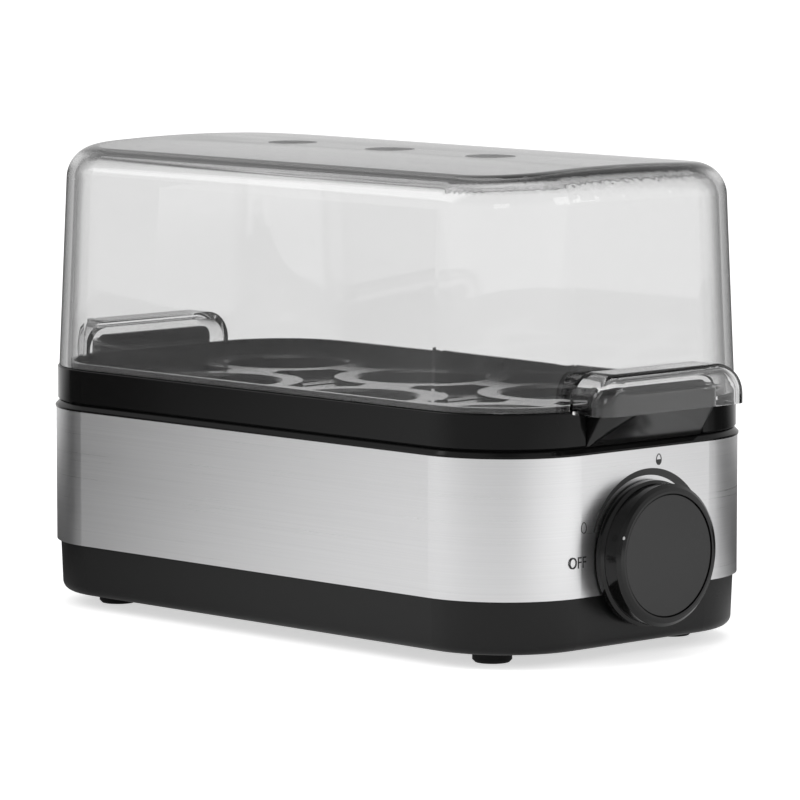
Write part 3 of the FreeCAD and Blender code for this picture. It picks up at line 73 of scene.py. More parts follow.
class Slot(Enum):
    """The record's material slots."""

    SATIN_BLACK = "satin_black"
    BLACK_RUBBER = "black_rubber"
    ZINC = "zinc_steel"
    BRUSHED = "brushed_steel"
    GLOSS_BLACK = "gloss_black"
    SILICONE = "clear_silicone"
    PAN = "pan_steel"
    ALUMINIUM = "cast_aluminium"
    SHEATH = "element_sheath"
    PHENOLIC = "phenolic_black"
    CERAMIC = "white_ceramic"
    BRASS = "brass_blade"
    KNOB = "knob_gloss_black"
    KNOB_FACE = "knob_face_grey"
    GROMMET = "grommet_rubber"
    TERMINAL = "terminal_white"
    BROWN = "lead_brown"
    BLUE = "lead_blue"
    GREEN = "lead_green"
    TRAY_BLACK = "tray_black"
    CLEAR = "smoky_clear"


class Sock:
    """One output of a shader node, on which Python's operators add Math nodes."""

    def __init__(self, graph: "Graph", output: bpy.types.NodeSocket) -> None:
        """Wrap an output of a graph."""
        self.graph = graph
        self.output = output

    def _math(self, operation: str, first: "Sock | float", second: "Sock | float") -> "Sock":
        """Add one Math node."""
        return self.graph.add("ShaderNodeMath", {"operation": operation}, {0: first, 1: second})

    def __add__(self, other: "Sock | float") -> "Sock":
        """Sum."""
        return self._math("ADD", self, other)

    def __radd__(self, other: float) -> "Sock":
        """Sum with a number on the left."""
        return self._math("ADD", other, self)

    def __sub__(self, other: "Sock | float") -> "Sock":
        """Difference."""
        return self._math("SUBTRACT", self, other)

    def __rsub__(self, other: float) -> "Sock":
        """Difference from a number."""
        return self._math("SUBTRACT", other, self)

    def __mul__(self, other: "Sock | float") -> "Sock":
        """Product."""
        return self._math("MULTIPLY", self, other)

    def __rmul__(self, other: float) -> "Sock":
        """Product with a number on the left."""
        return self._math("MULTIPLY", other, self)

    def __pow__(self, other: float) -> "Sock":
        """Power."""
        return self._math("POWER", self, other)

    def least(self, other: "Sock | float") -> "Sock":
        """The smaller of two values."""
        return self._math("MINIMUM", self, other)


class Graph:
    """The shader nodes of one material or world."""

    def __init__(self, tree: bpy.types.NodeTree) -> None:
        """Empty a node tree and take it over."""
        self.tree = tree
        self.tree.nodes.clear()

    def add(self, kind: str, settings: dict[str, object] | None = None,
            sockets: dict[str | int, object] | None = None, out: str | int = 0) -> Sock:
        """Add one node.

        Args:
            kind: the node's type.
            settings: its properties.
            sockets: values or links of its inputs, by name or index.
            out: which output to return.

        Returns:
            The chosen output, or for a node without outputs the node's first input.
        """
        node = self.tree.nodes.new(kind)
        for name, value in (settings or {}).items():
            setattr(node, name, value)
        for name, value in (sockets or {}).items():
            if isinstance(value, Sock):
                self.tree.links.new(value.output, node.inputs[name])
            else:
                node.inputs[name].default_value = value
        ends = node.outputs if len(node.outputs) else node.inputs
        return Sock(self, ends[out])

    def place(self) -> Sock:
        """The object's own coordinates, in metres."""
        return self.add("ShaderNodeTexCoord", out="Object")

    def stretched(self, scale: tuple[float, float, float]) -> Sock:
        """The object's coordinates, scaled along each axis."""
        return self.add("ShaderNodeMapping", {"vector_type": "POINT"},
                        {"Vector": self.place(), "Scale": scale})

    def noise(self, vector: Sock, scale: float, detail: float = 3.0) -> Sock:
        """A noise from 0 to 1 about 0.5."""
        return self.add("ShaderNodeTexNoise", {"noise_dimensions": "3D"},
                        {"Vector": vector, "Scale": scale, "Detail": detail,
                         "Roughness": NOISE_ROUGHNESS})

    def bump(self, height: Sock, depth: float) -> Sock:
        """A normal from a height of 0 to 1 that stands for a depth in metres."""
        return self.add("ShaderNodeBump", {},
                        {"Height": height, "Distance": depth, "Strength": 1.0})

    def rise(self, value: Sock, low: float, high: float) -> Sock:
        """A smooth step from 0 at one value to 1 at a higher one."""
        return self.add("ShaderNodeMapRange", {"interpolation_type": "SMOOTHSTEP"},
                        {"Value": value, "From Min": low, "From Max": high})

    def vector(self, operation: str, first: Sock, second: tuple[float, ...],
               out: str | int = 0) -> Sock:
        """Add one Vector Math node."""
        return self.add("ShaderNodeVectorMath", {"operation": operation},
                        {0: first, 1: second}, out)

    def level(self, direction: Sock) -> Sock:
        """A direction laid level, with length 1."""
        return self.vector("NORMALIZE", self.vector("MULTIPLY", direction, LEVEL), ORIGIN)

    def along(self, place: Sock, axis: tuple[float, ...]) -> Sock:
        """How far a place lies along an axis."""
        return self.vector("DOT_PRODUCT", place, axis, "Value")

    def tinted(self, factor: Sock, dark: tuple[float, ...], light: tuple[float, ...]) -> Sock:
        """A colour between two, by a factor."""
        return self.add("ShaderNodeMix", {"data_type": "RGBA"},
                        {"Factor": factor, "A": (*dark, 1.0), "B": (*light, 1.0)}, out="Result")

    def varied(self, factor: Sock, colour: tuple[float, ...], tones: tuple[float, float]) -> Sock:
        """A colour that runs between two shades of itself."""
        return self.tinted(factor, *(shaded(colour, tone) for tone in tones))

    def principled(self, **sockets: object) -> Sock:
        """A Principled shader; underscores in a name stand for spaces."""
        named = {name.replace("_", " "): value for name, value in sockets.items()}
        return self.add("ShaderNodeBsdfPrincipled", {}, named)

    def glow(self, strength: float) -> Sock:
        """A white shader that gives light of its own."""
        return self.add("ShaderNodeEmission", {}, {"Color": WHITE, "Strength": strength})

    def mixed(self, factor: Sock, first: Sock, second: Sock) -> Sock:
        """Two shaders mixed: the first at a factor of 0, the second at 1."""
        return self.add("ShaderNodeMixShader", {}, {0: factor, 1: first, 2: second})

    def surface(self, shader: Sock, kind: str = "ShaderNodeOutputMaterial") -> None:
        """Send a shader to the output."""
        self.add(kind, {}, {"Surface": shader})


def grey(tone: float) -> tuple[float, float, float]:
    """A neutral colour."""
    return (tone, tone, tone)


def shaded(colour: tuple[float, ...], factor: float) -> tuple[float, ...]:
    """A colour made lighter or darker."""
    return tuple(min(part * factor, 1.0) for part in colour)


def fresh_material(title: str) -> tuple[bpy.types.Material, Graph]:
    """Make an empty material.

    Args:
        title: the material's name.

    Returns:
        The material, and the graph of its nodes.
    """
    made = bpy.data.materials.new(title)
    made.use_nodes = True
    return made, Graph(made.node_tree)


@dataclass(frozen=True)
class Finish:
    """A finish that can be put on pieces."""

    name: str

    def shader(self, graph: Graph) -> Sock:
        """Build the finish's shader; each kind of finish has its own."""
        raise NotImplementedError

    def material(self) -> bpy.types.Material:
        """The finish as a material, made once.

        Returns:
            The material of this name.
        """
        title = self.name + "_finish"
        made = bpy.data.materials.get(title)
        if made is None:
            made, graph = fresh_material(title)
            graph.surface(self.shader(graph))
        return made


@dataclass(frozen=True)
class Moulded(Finish):
    """Injection moulded plastic or rubber, with a grain and small changes of gloss."""

    colour: tuple[float, float, float]
    roughness: float
    mottle: float = 0.05
    grain: float = 0.25 * MM
    depth: float = 0.01 * MM
    specular: float = 0.5
    cloud_scale: float = 38.0
    shades: tuple[float, float] = (0.86, 1.14)

    def shader(self, graph: Graph) -> Sock:
        """Build the finish's shader.

        Args:
            graph: the nodes of the material that is being made.

        Returns:
            The shader for the material's surface.
        """
        place = graph.place()
        cloud = graph.noise(place, self.cloud_scale, 4.0)
        fine = graph.noise(place, 1.0 / self.grain, 2.0)
        gloss = (cloud - 0.5) * (2.0 * self.mottle) + (fine - 0.5) * self.mottle + self.roughness
        return graph.principled(Base_Color=graph.varied(cloud, self.colour, self.shades),
                                Roughness=gloss, Specular_IOR_Level=self.specular,
                                Normal=graph.bump(fine, self.depth))


@dataclass(frozen=True)
class Metal(Finish):
    """Plain metal with a cloudy gloss and a fine tooth."""

    colour: tuple[float, float, float]
    roughness: float
    tooth: float = 0.3 * MM
    depth: float = 0.006 * MM
    cloud_scale: float = 60.0
    shades: tuple[float, float] = (0.88, 1.08)
    gloss_swing: float = 0.16

    def shader(self, graph: Graph) -> Sock:
        """Build the finish's shader.

        Args:
            graph: the nodes of the material that is being made.

        Returns:
            The shader for the material's surface.
        """
        place = graph.place()
        cloud = graph.noise(place, self.cloud_scale, 4.0)
        fine = graph.noise(place, 1.0 / self.tooth, 2.0)
        return graph.principled(Base_Color=graph.varied(cloud, self.colour, self.shades),
                                Metallic=1.0,
                                Roughness=(cloud - 0.5) * self.gloss_swing + self.roughness,
                                Normal=graph.bump(fine, self.depth))


@dataclass(frozen=True)
class BrushedSteel(Finish):
    """Stainless sheet brushed along its length, with long fine streaks."""

    colour: tuple[float, float, float]
    roughness: float
    streak_length: float = 90.0 * MM
    streak_height: float = 0.40 * MM
    depth: float = 0.003 * MM
    hair_finer: tuple[float, float] = (3.0, 3.2)
    hair_share: float = 0.45
    cloud_scale: tuple[float, float, float] = (14.0, 14.0, 30.0)
    shades: tuple[float, float] = (0.88, 1.12)
    streak_swing: float = 0.16
    cloud_swing: float = 0.04

    def shader(self, graph: Graph) -> Sock:
        """Build the finish's shader.

        Args:
            graph: the nodes of the material that is being made.

        Returns:
            The shader for the material's surface.
        """
        along, across = 1.0 / self.streak_length, 1.0 / self.streak_height
        coarse = graph.noise(graph.stretched((along, along, across)), 1.0, 4.0)
        shorter, thinner = along * self.hair_finer[0], across * self.hair_finer[1]
        hair = graph.noise(graph.stretched((shorter, shorter, thinner)), 1.0, 3.0)
        cloud = graph.noise(graph.stretched(self.cloud_scale), 1.0, 2.0)
        streaks = coarse * (1.0 - self.hair_share) + hair * self.hair_share
        gloss = ((streaks - 0.5) * self.streak_swing + (cloud - 0.5) * self.cloud_swing
                 + self.roughness)
        return graph.principled(Base_Color=graph.varied(streaks, self.colour, self.shades),
                                Metallic=1.0, Roughness=gloss,
                                Normal=graph.bump(streaks, self.depth))


@dataclass(frozen=True)
class SmokyClear(Finish):
    """Clear smoky grey plastic, darker seen edge on (partly a longer path through the tint, partly
    painted shade), with painted shade along the top rounding, a painted dark opaque border at the
    silhouettes, and satin walls in the steam holes.
    """

    centre_tone: float
    edge_tint_and_shade_tone: float
    specular: float = 0.20
    edge_power: float = 2.4
    top: float = 142.1 * MM
    rounding_drop: tuple[float, float] = (0.8 * MM, 4.2 * MM)
    rounding_flat: tuple[float, float] = (0.985, 0.999)
    rounding_painted_shade: float = 0.95
    rim_reach: tuple[float, float] = (0.47, 0.95)
    rim_drop: tuple[float, float] = (5.0 * MM, 9.0 * MM)
    rim_flat: tuple[float, float] = (0.97, 0.995)
    rim_share: float = 0.85
    painted_rim_tone: float = 0.02
    roughness: float = 0.008
    hole_radius: float = 7.5 * MM
    hole_pitch: float = 43.0 * MM
    hole_skin: float = 0.12 * MM
    hole_tone: float = 0.40
    hole_shades: tuple[float, float] = (0.9, 1.1)
    hole_roughness: float = 0.45
    refraction: float = 1.49
    haze_scale: float = 25.0
    haze_swing: float = 0.012

    def hole_walls(self, graph: Graph) -> Sock:
        """Find the walls of the three steam holes.

        Args:
            graph: the nodes of the lid's material.

        Returns:
            1 on the walls, 0 elsewhere.
        """
        flat = graph.vector("MULTIPLY", graph.place(), LEVEL)
        left, middle, right = [
            graph.vector("DISTANCE", flat, (self.hole_pitch * step, 0.0, 0.0), "Value")
            for step in (-1, 0, 1)]
        nearest = left.least(middle).least(right)
        return 1.0 - graph.rise(nearest, self.hole_radius + self.hole_skin / 2,
                                self.hole_radius + self.hole_skin)

    def near_top(self, graph: Graph, drop: tuple[float, float]) -> Sock:
        """Tell the lid's upper edge from its sides.

        Args:
            graph: the nodes of the lid's material.
            drop: two distances below the lid's top.

        Returns:
            1 above the first distance, 0 below the second.
        """
        high, low = drop
        return graph.rise(graph.along(graph.place(), UP), self.top - low, self.top - high)

    def shader(self, graph: Graph) -> Sock:
        """Build the finish's shader.

        Args:
            graph: the nodes of the material that is being made.

        Returns:
            The shader for the material's surface.
        """
        edge = graph.add("ShaderNodeLayerWeight", {}, {"Blend": 0.5}, out="Facing")
        upward = graph.along(graph.add("ShaderNodeTexCoord", out="Normal"), UP) ** 2.0
        # Painted shade: the rounding just under the flat top is made darker.
        rounding = (self.near_top(graph, self.rounding_drop)
                    * (1.0 - graph.rise(upward, *self.rounding_flat)))
        # Darker seen edge on: partly a longer path through the tint, partly painted shade.
        edge_tint_and_painted_shade = (edge ** self.edge_power + rounding * self.rounding_painted_shade).least(1.0)
        # Painted shade: seen edge on below the top, the sides turn into a dark opaque surface at
        # the silhouettes.
        painted_rim_shade = (graph.rise(edge, *self.rim_reach) * self.rim_share
               * (1.0 - self.near_top(graph, self.rim_drop))
               * (1.0 - graph.rise(upward, *self.rim_flat)))
        tone = graph.tinted(edge_tint_and_painted_shade, grey(self.centre_tone), grey(self.edge_tint_and_shade_tone))
        haze = graph.noise(graph.place(), self.haze_scale, 3.0)
        clear = graph.principled(Base_Color=tone, Transmission_Weight=1.0, IOR=self.refraction,
                                 Specular_IOR_Level=self.specular,
                                 Roughness=haze * self.haze_swing + self.roughness)
        dark = graph.principled(Base_Color=(*grey(self.painted_rim_tone), 1.0), Roughness=0.3,
                                Specular_IOR_Level=0.0)
        sheet = graph.mixed(painted_rim_shade, clear, dark)
        satin = graph.principled(
            Base_Color=graph.varied(haze, grey(self.hole_tone), self.hole_shades),
            Roughness=self.hole_roughness)
        return graph.mixed(self.hole_walls(graph), sheet, satin)


@dataclass(frozen=True)
class Ink(Finish):
    """Printed ink with slightly uneven cover."""

    colour: tuple[float, float, float]
    speck: float = 0.25 * MM
    shades: tuple[float, float] = (1.0, 1.6)
    roughness: float = 0.45

    def shader(self, graph: Graph) -> Sock:
        """Build the finish's shader.

        Args:
            graph: the nodes of the material that is being made.

        Returns:
            The shader for the material's surface.
        """
        cover = graph.noise(graph.place(), 1.0 / self.speck, 2.0)
        return graph.principled(Base_Color=graph.varied(cover, self.colour, self.shades),
                                Roughness=self.roughness + (cover - 0.5) * 0.1)


FINISHES: dict[Slot, Finish] = {
    Slot.SATIN_BLACK: Moulded("satin_black", grey(0.006), 0.30, 0.05, 0.30 * MM, 0.010 * MM, 0.27),
    Slot.BLACK_RUBBER: Moulded("black_rubber", grey(0.008), 0.62, 0.05, 0.20 * MM, 0.02 * MM, 0.3),
    Slot.ZINC: Metal("zinc_steel", (0.66, 0.67, 0.70), 0.28),
    Slot.BRUSHED: BrushedSteel("brushed_steel", (0.70, 0.70, 0.705), 0.30),
    Slot.GLOSS_BLACK: Moulded("gloss_black", grey(0.005), 0.12, 0.02, 0.9 * MM, 0.002 * MM, 0.17),
    Slot.SILICONE: Moulded("clear_silicone", (0.62, 0.62, 0.59), 0.35),
    Slot.PAN: Metal("pan_steel", (0.62, 0.62, 0.63), 0.24),
    Slot.ALUMINIUM: Metal("cast_aluminium", (0.62, 0.63, 0.64), 0.42, 0.6 * MM, 0.02 * MM),
    Slot.SHEATH: Metal("element_sheath", (0.36, 0.36, 0.37), 0.45, 0.4 * MM, 0.01 * MM),
    Slot.PHENOLIC: Moulded("phenolic_black", (0.035, 0.030, 0.026), 0.40),
    Slot.CERAMIC: Moulded("white_ceramic", (0.78, 0.77, 0.73), 0.22, 0.03),
    Slot.BRASS: Metal("brass_blade", (0.72, 0.52, 0.22), 0.27),
    Slot.KNOB: Moulded("knob_gloss_black", grey(0.004), 0.13, 0.02, 0.8 * MM, 0.002 * MM, 0.36),
    Slot.KNOB_FACE: Moulded("knob_face_grey", grey(0.020), 0.26, 0.03, 0.25 * MM, 0.004 * MM, 0.36),
    Slot.GROMMET: Moulded("grommet_rubber", grey(0.014), 0.55, 0.05, 0.22 * MM, 0.015 * MM),
    Slot.TERMINAL: Moulded("terminal_white", (0.74, 0.74, 0.70), 0.42),
    Slot.BROWN: Moulded("lead_brown", (0.16, 0.06, 0.025), 0.40),
    Slot.BLUE: Moulded("lead_blue", (0.03, 0.10, 0.34), 0.40),
    Slot.GREEN: Moulded("lead_green", (0.08, 0.30, 0.08), 0.40),
    Slot.TRAY_BLACK: Moulded("tray_black", grey(0.007), 0.17, 0.03, 0.30 * MM, 0.004 * MM, 0.40),
    Slot.CLEAR: SmokyClear("smoky_clear", 0.905, 0.02),
}
PRINT = Ink("print_black", grey(0.020))
PAINT = Ink("pointer_white", grey(0.42))


def dress(piece: bpy.types.Object, finish: Finish) -> None:
    """Give a piece one finish all over.

    Args:
        piece: the piece, with or without material slots.
        finish: the finish for all of its slots.
    """
    made = finish.material()
    if not piece.material_slots:
        piece.data.materials.append(made)
    for held in piece.material_slots:
        held.material = made


def seat(piece: bpy.types.Object, body: Body, slot: Slot, finish: Finish | None = None) -> None:
    """Dress a finished piece, let it ride on its body, and report it.

    Args:
        piece: the finished object, with its place in its mesh.
        body: the body that it moves with.
        slot: the record's slot that its finish belongs to.
        finish: the finish, where it isn't the slot's own.
    """
    dress(piece, finish or FINISHES[slot])
    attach(piece, body.value)
    LOG.info("%s: %d faces on %s", piece.name, len(piece.data.polygons), body.value)


def start(name: str, add: Callable[..., set[str]], **settings: object) -> bpy.types.Object:
    """Add one primitive, with nothing else selected, and put its place into its mesh.

    Args:
        name: the new object's name.
        add: the operator that adds the primitive.
        settings: that operator's settings.

    Returns:
        The new object, which is active and selected.
    """
    bpy.ops.object.select_all(action="DESELECT")
    add(**settings)
    made = bpy.context.object
    made.name = name
    made.data.name = name
    bpy.ops.object.transform_apply(location=True, rotation=True, scale=True)
    return made


@contextmanager
def editing(piece: bpy.types.Object, kind: str = "FACE") -> Iterator[bmesh.types.BMesh]:
    """Open a piece in edit mode with one kind of element, all selected.

    Args:
        piece: the active object.
        kind: VERT, EDGE or FACE.

    Yields:
        The mesh, for choosing elements by their place.
    """
    bpy.ops.object.mode_set(mode="EDIT")
    bpy.ops.mesh.select_mode(type=kind)
    bpy.ops.mesh.select_all(action="SELECT")
    yield bmesh.from_edit_mesh(piece.data)
    bpy.ops.object.mode_set(mode="OBJECT")


def smooth(piece: bpy.types.Object, degrees: float = 30.0) -> None:
    """Shade a piece smooth, apart from its sharp edges.

    Args:
        piece: the piece to shade.
        degrees: the angle from which an edge counts as sharp.
    """
    bpy.ops.object.select_all(action="DESELECT")
    piece.select_set(True)
    bpy.context.view_layer.objects.active = piece
    bpy.ops.object.shade_smooth_by_angle(angle=math.radians(degrees))


@dataclass
class DialMarks:
    """The marks printed on the end face round the dial, and the dial's pointer."""

    centre_z: float = 30.6 * MM
    face_x: float = 107.0 * MM
    ink: float = 0.06 * MM
    off_y: float = -27.9 * MM
    off_z: float = 30.0 * MM
    off_height: float = 3.4 * MM
    off_narrowing: float = 0.84
    font_size: float = 1.40
    soft_angle: float = -69.6
    medium_angle: float = 11.3
    hard_angle: float = 92.0
    icon_radius: float = 27.2 * MM
    icon_height: float = 3.35 * MM
    icon_width: float = 2.3 * MM
    icon_line: float = 0.28 * MM
    icon_points: int = 40
    icon_narrowing: float = 0.22
    icon_swell: float = 1.12
    scale_start: float = -70.0
    scale_end: float = 92.0
    scale_inner: float = 22.5 * MM
    scale_thin: float = 0.5 * MM
    scale_thick: float = 3.2 * MM
    scale_steps: int = 54
    scale_growth: float = 0.8
    pointer_angle: float = -70.0
    pointer_radius: float = 19.45 * MM
    pointer_x: float = 116.1 * MM
    pointer_size: float = 0.60 * MM
    pointer_flatness: float = 0.35

    def spot(self, degrees: float, radius: float) -> Vector:
        """Find a point of the end face.

        Args:
            degrees: its angle round the dial, from the top towards +Y.
            radius: its distance from the dial's centre.

        Returns:
            The point.
        """
        turn = math.radians(degrees)
        return Vector((self.face_x, radius * math.sin(turn),
                       self.centre_z + radius * math.cos(turn)))

    def off_word(self) -> bpy.types.Object:
        """The word OFF, left of the dial.

        Returns:
            The word as a thin mesh on the end face.
        """
        bpy.ops.object.select_all(action="DESELECT")
        facing = (math.pi / 2, 0.0, math.pi / 2)
        bpy.ops.object.text_add(location=(self.face_x, self.off_y, self.off_z), rotation=facing)
        word = bpy.context.object
        word.name = "off_mark"
        word.data.body = "OFF"
        word.data.align_x = "CENTER"
        word.data.align_y = "CENTER"
        word.data.size = self.off_height * self.font_size
        word.scale.x = self.off_narrowing
        word.data.extrude = self.ink
        bpy.ops.object.convert(target="MESH")
        word = bpy.context.object
        bpy.ops.object.transform_apply(location=True, rotation=True, scale=True)
        return word

    def thicken(self) -> None:
        """Give the flat mark that is open in edit mode the thickness of the print."""
        bpy.ops.mesh.select_all(action="SELECT")
        bpy.ops.mesh.normals_make_consistent(inside=False)
        bpy.ops.mesh.extrude_region_move(TRANSFORM_OT_translate={"value": (self.ink, 0, 0)})
        bpy.ops.mesh.select_all(action="SELECT")
        bpy.ops.mesh.normals_make_consistent(inside=False)

    def egg(self, name: str, degrees: float, filled: float) -> bpy.types.Object:
        """An egg mark: an outline, filled from below by a share.

        Args:
            name: the piece's name.
            degrees: its place round the dial.
            filled: 0 for an empty outline, 1 for a full egg.

        Returns:
            The mark as a thin mesh on the end face.
        """
        spot = self.spot(degrees, self.icon_radius)
        mark = start(name, bpy.ops.mesh.primitive_circle_add, vertices=self.icon_points,
                     fill_type="NGON", radius=0.5, location=ORIGIN)
        with editing(mark) as mesh:
            for vert in mesh.verts:
                across, up = vert.co.x * self.icon_width, vert.co.y * self.icon_height
                across *= 1.0 - self.icon_narrowing * (vert.co.y + 0.5)
                vert.co = (spot.x, spot.y + across * self.icon_swell, spot.z + up)
            mesh.normal_update()
            bmesh.update_edit_mesh(mark.data)
            bpy.ops.mesh.inset(thickness=self.icon_line, depth=0.0)
            if filled < 1.0:
                level = spot.z + self.icon_height * (filled - 0.5)
                bpy.ops.mesh.bisect(plane_co=(spot.x, spot.y, level), plane_no=UP)
                self.open_above(mark, level)
            self.thicken()
        return mark

    def open_above(self, mark: bpy.types.Object, level: float) -> None:
        """Delete the part of an egg mark's inside that lies above a level.

        Args:
            mark: the egg mark, open in edit mode.
            level: the height up to which the mark stays filled.
        """
        bpy.ops.mesh.select_all(action="DESELECT")
        mesh = bmesh.from_edit_mesh(mark.data)
        inside = max(mesh.faces, key=lambda face: face.calc_area()
                     if face.calc_center_median().z > level else 0.0)
        inside.select_set(True)
        bmesh.update_edit_mesh(mark.data)
        bpy.ops.mesh.delete(type="FACE")

    def scale_band(self) -> bpy.types.Object:
        """The tapered scale that grows from soft to hard.

        Returns:
            The scale as a thin mesh on the end face.
        """
        low = self.spot(self.scale_start, self.scale_inner)
        sweep = math.radians(self.scale_end - self.scale_start)
        band = start("doneness_scale", bpy.ops.mesh.primitive_plane_add, size=1.0,
                     location=ORIGIN)
        centre = Vector((self.face_x, 0.0, self.centre_z))
        with editing(band, "VERT") as mesh:
            outward = (low - centre).normalized()
            for vert in mesh.verts:
                vert.co = low + outward * (self.scale_thin if vert.co.x > 0 else 0.0)
            bmesh.update_edit_mesh(band.data)
            bpy.ops.mesh.remove_doubles(threshold=0.01 * MM)
            bpy.ops.mesh.select_all(action="SELECT")
            bpy.ops.mesh.spin(steps=self.scale_steps, angle=sweep, center=centre,
                              axis=(1.0, 0.0, 0.0))
            self.taper(band, centre)
            self.thicken()
        return band

    def taper(self, band: bpy.types.Object, centre: Vector) -> None:
        """Move the scale's outer points out, further towards the hard end.

        Args:
            band: the scale, open in edit mode.
            centre: the dial's centre on the end face.
        """
        mesh = bmesh.from_edit_mesh(band.data)
        for vert in mesh.verts:
            arm = vert.co - centre
            if arm.length > self.scale_inner + self.scale_thin / 2:
                turn = math.degrees(math.atan2(arm.y, arm.z))
                share = max(turn - self.scale_start, 0.0) / (self.scale_end - self.scale_start)
                width = (self.scale_thin
                         + (self.scale_thick - self.scale_thin) * share ** self.scale_growth)
                vert.co = centre + arm.normalized() * (self.scale_inner + width)
        bmesh.update_edit_mesh(band.data)

    def pointer(self) -> bpy.types.Object:
        """The dot on the knob's front edge.

        Returns:
            A shallow round dot that lies on the knob's chamfer.
        """
        turn = math.radians(self.pointer_angle)
        place = (self.pointer_x, self.pointer_radius * math.sin(turn),
                 self.centre_z + self.pointer_radius * math.cos(turn))
        dot = start("pointer_dot", bpy.ops.mesh.primitive_uv_sphere_add, segments=24,
                    ring_count=12, radius=self.pointer_size, location=place,
                    scale=(self.pointer_flatness, 1.0, 1.0))
        smooth(dot, 60.0)
        return dot

    def build(self) -> None:
        """Print the marks and seat the pointer."""
        for mark in (self.off_word(),
                     self.egg("soft_mark", self.soft_angle, filled=0.0),
                     self.egg("medium_mark", self.medium_angle, filled=0.5),
                     self.egg("hard_mark", self.hard_angle, filled=1.0),
                     self.scale_band()):
            seat(mark, Body.HOUSING, Slot.BRUSHED, PRINT)
        seat(self.pointer(), Body.DIAL, Slot.KNOB, PAINT)


@dataclass
class Interior:
    """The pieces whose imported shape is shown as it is."""

    record: dict
    nodes: dict[str, bpy.types.Object]

    def build(self) -> None:
        """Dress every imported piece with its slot's finish."""
        for row in self.record["subparts"]:
            node = self.nodes[row["node"]]
            dress(node, FINISHES[Slot(row["material_slot"])])
            LOG.info("%s: packed shape in %s", row["node"], row["material_slot"])


@dataclass
class Softbox:
    """One square area light that looks at a point."""

    name: str
    place: tuple[float, float, float]
    size: float
    power: float
    mirrored: bool = True
    aim: tuple[float, float, float] = (0.0, 0.0, 0.06)

    def build(self) -> None:
        """Hang the light."""
        data = bpy.data.lights.new(self.name, "AREA")
        data.shape = "SQUARE"
        data.size = self.size
        data.energy = self.power
        lamp = bpy.data.objects.new(self.name, data)
        lamp.location = self.place
        gaze = Vector(self.aim) - Vector(self.place)
        lamp.rotation_euler = gaze.to_track_quat("-Z", "Y").to_euler()
        lamp.visible_camera = False
        lamp.visible_glossy = self.mirrored
        bpy.context.scene.collection.objects.link(lamp)


@dataclass(frozen=True)
class Step:
    """A smooth step between two values, and how much it changes."""

    low: float
    high: float
    amount: float

    def of(self, graph: Graph, value: Sock) -> Sock:
        """0 up to the low value, the whole amount from the high one."""
        return graph.rise(value, self.low, self.high) * self.amount


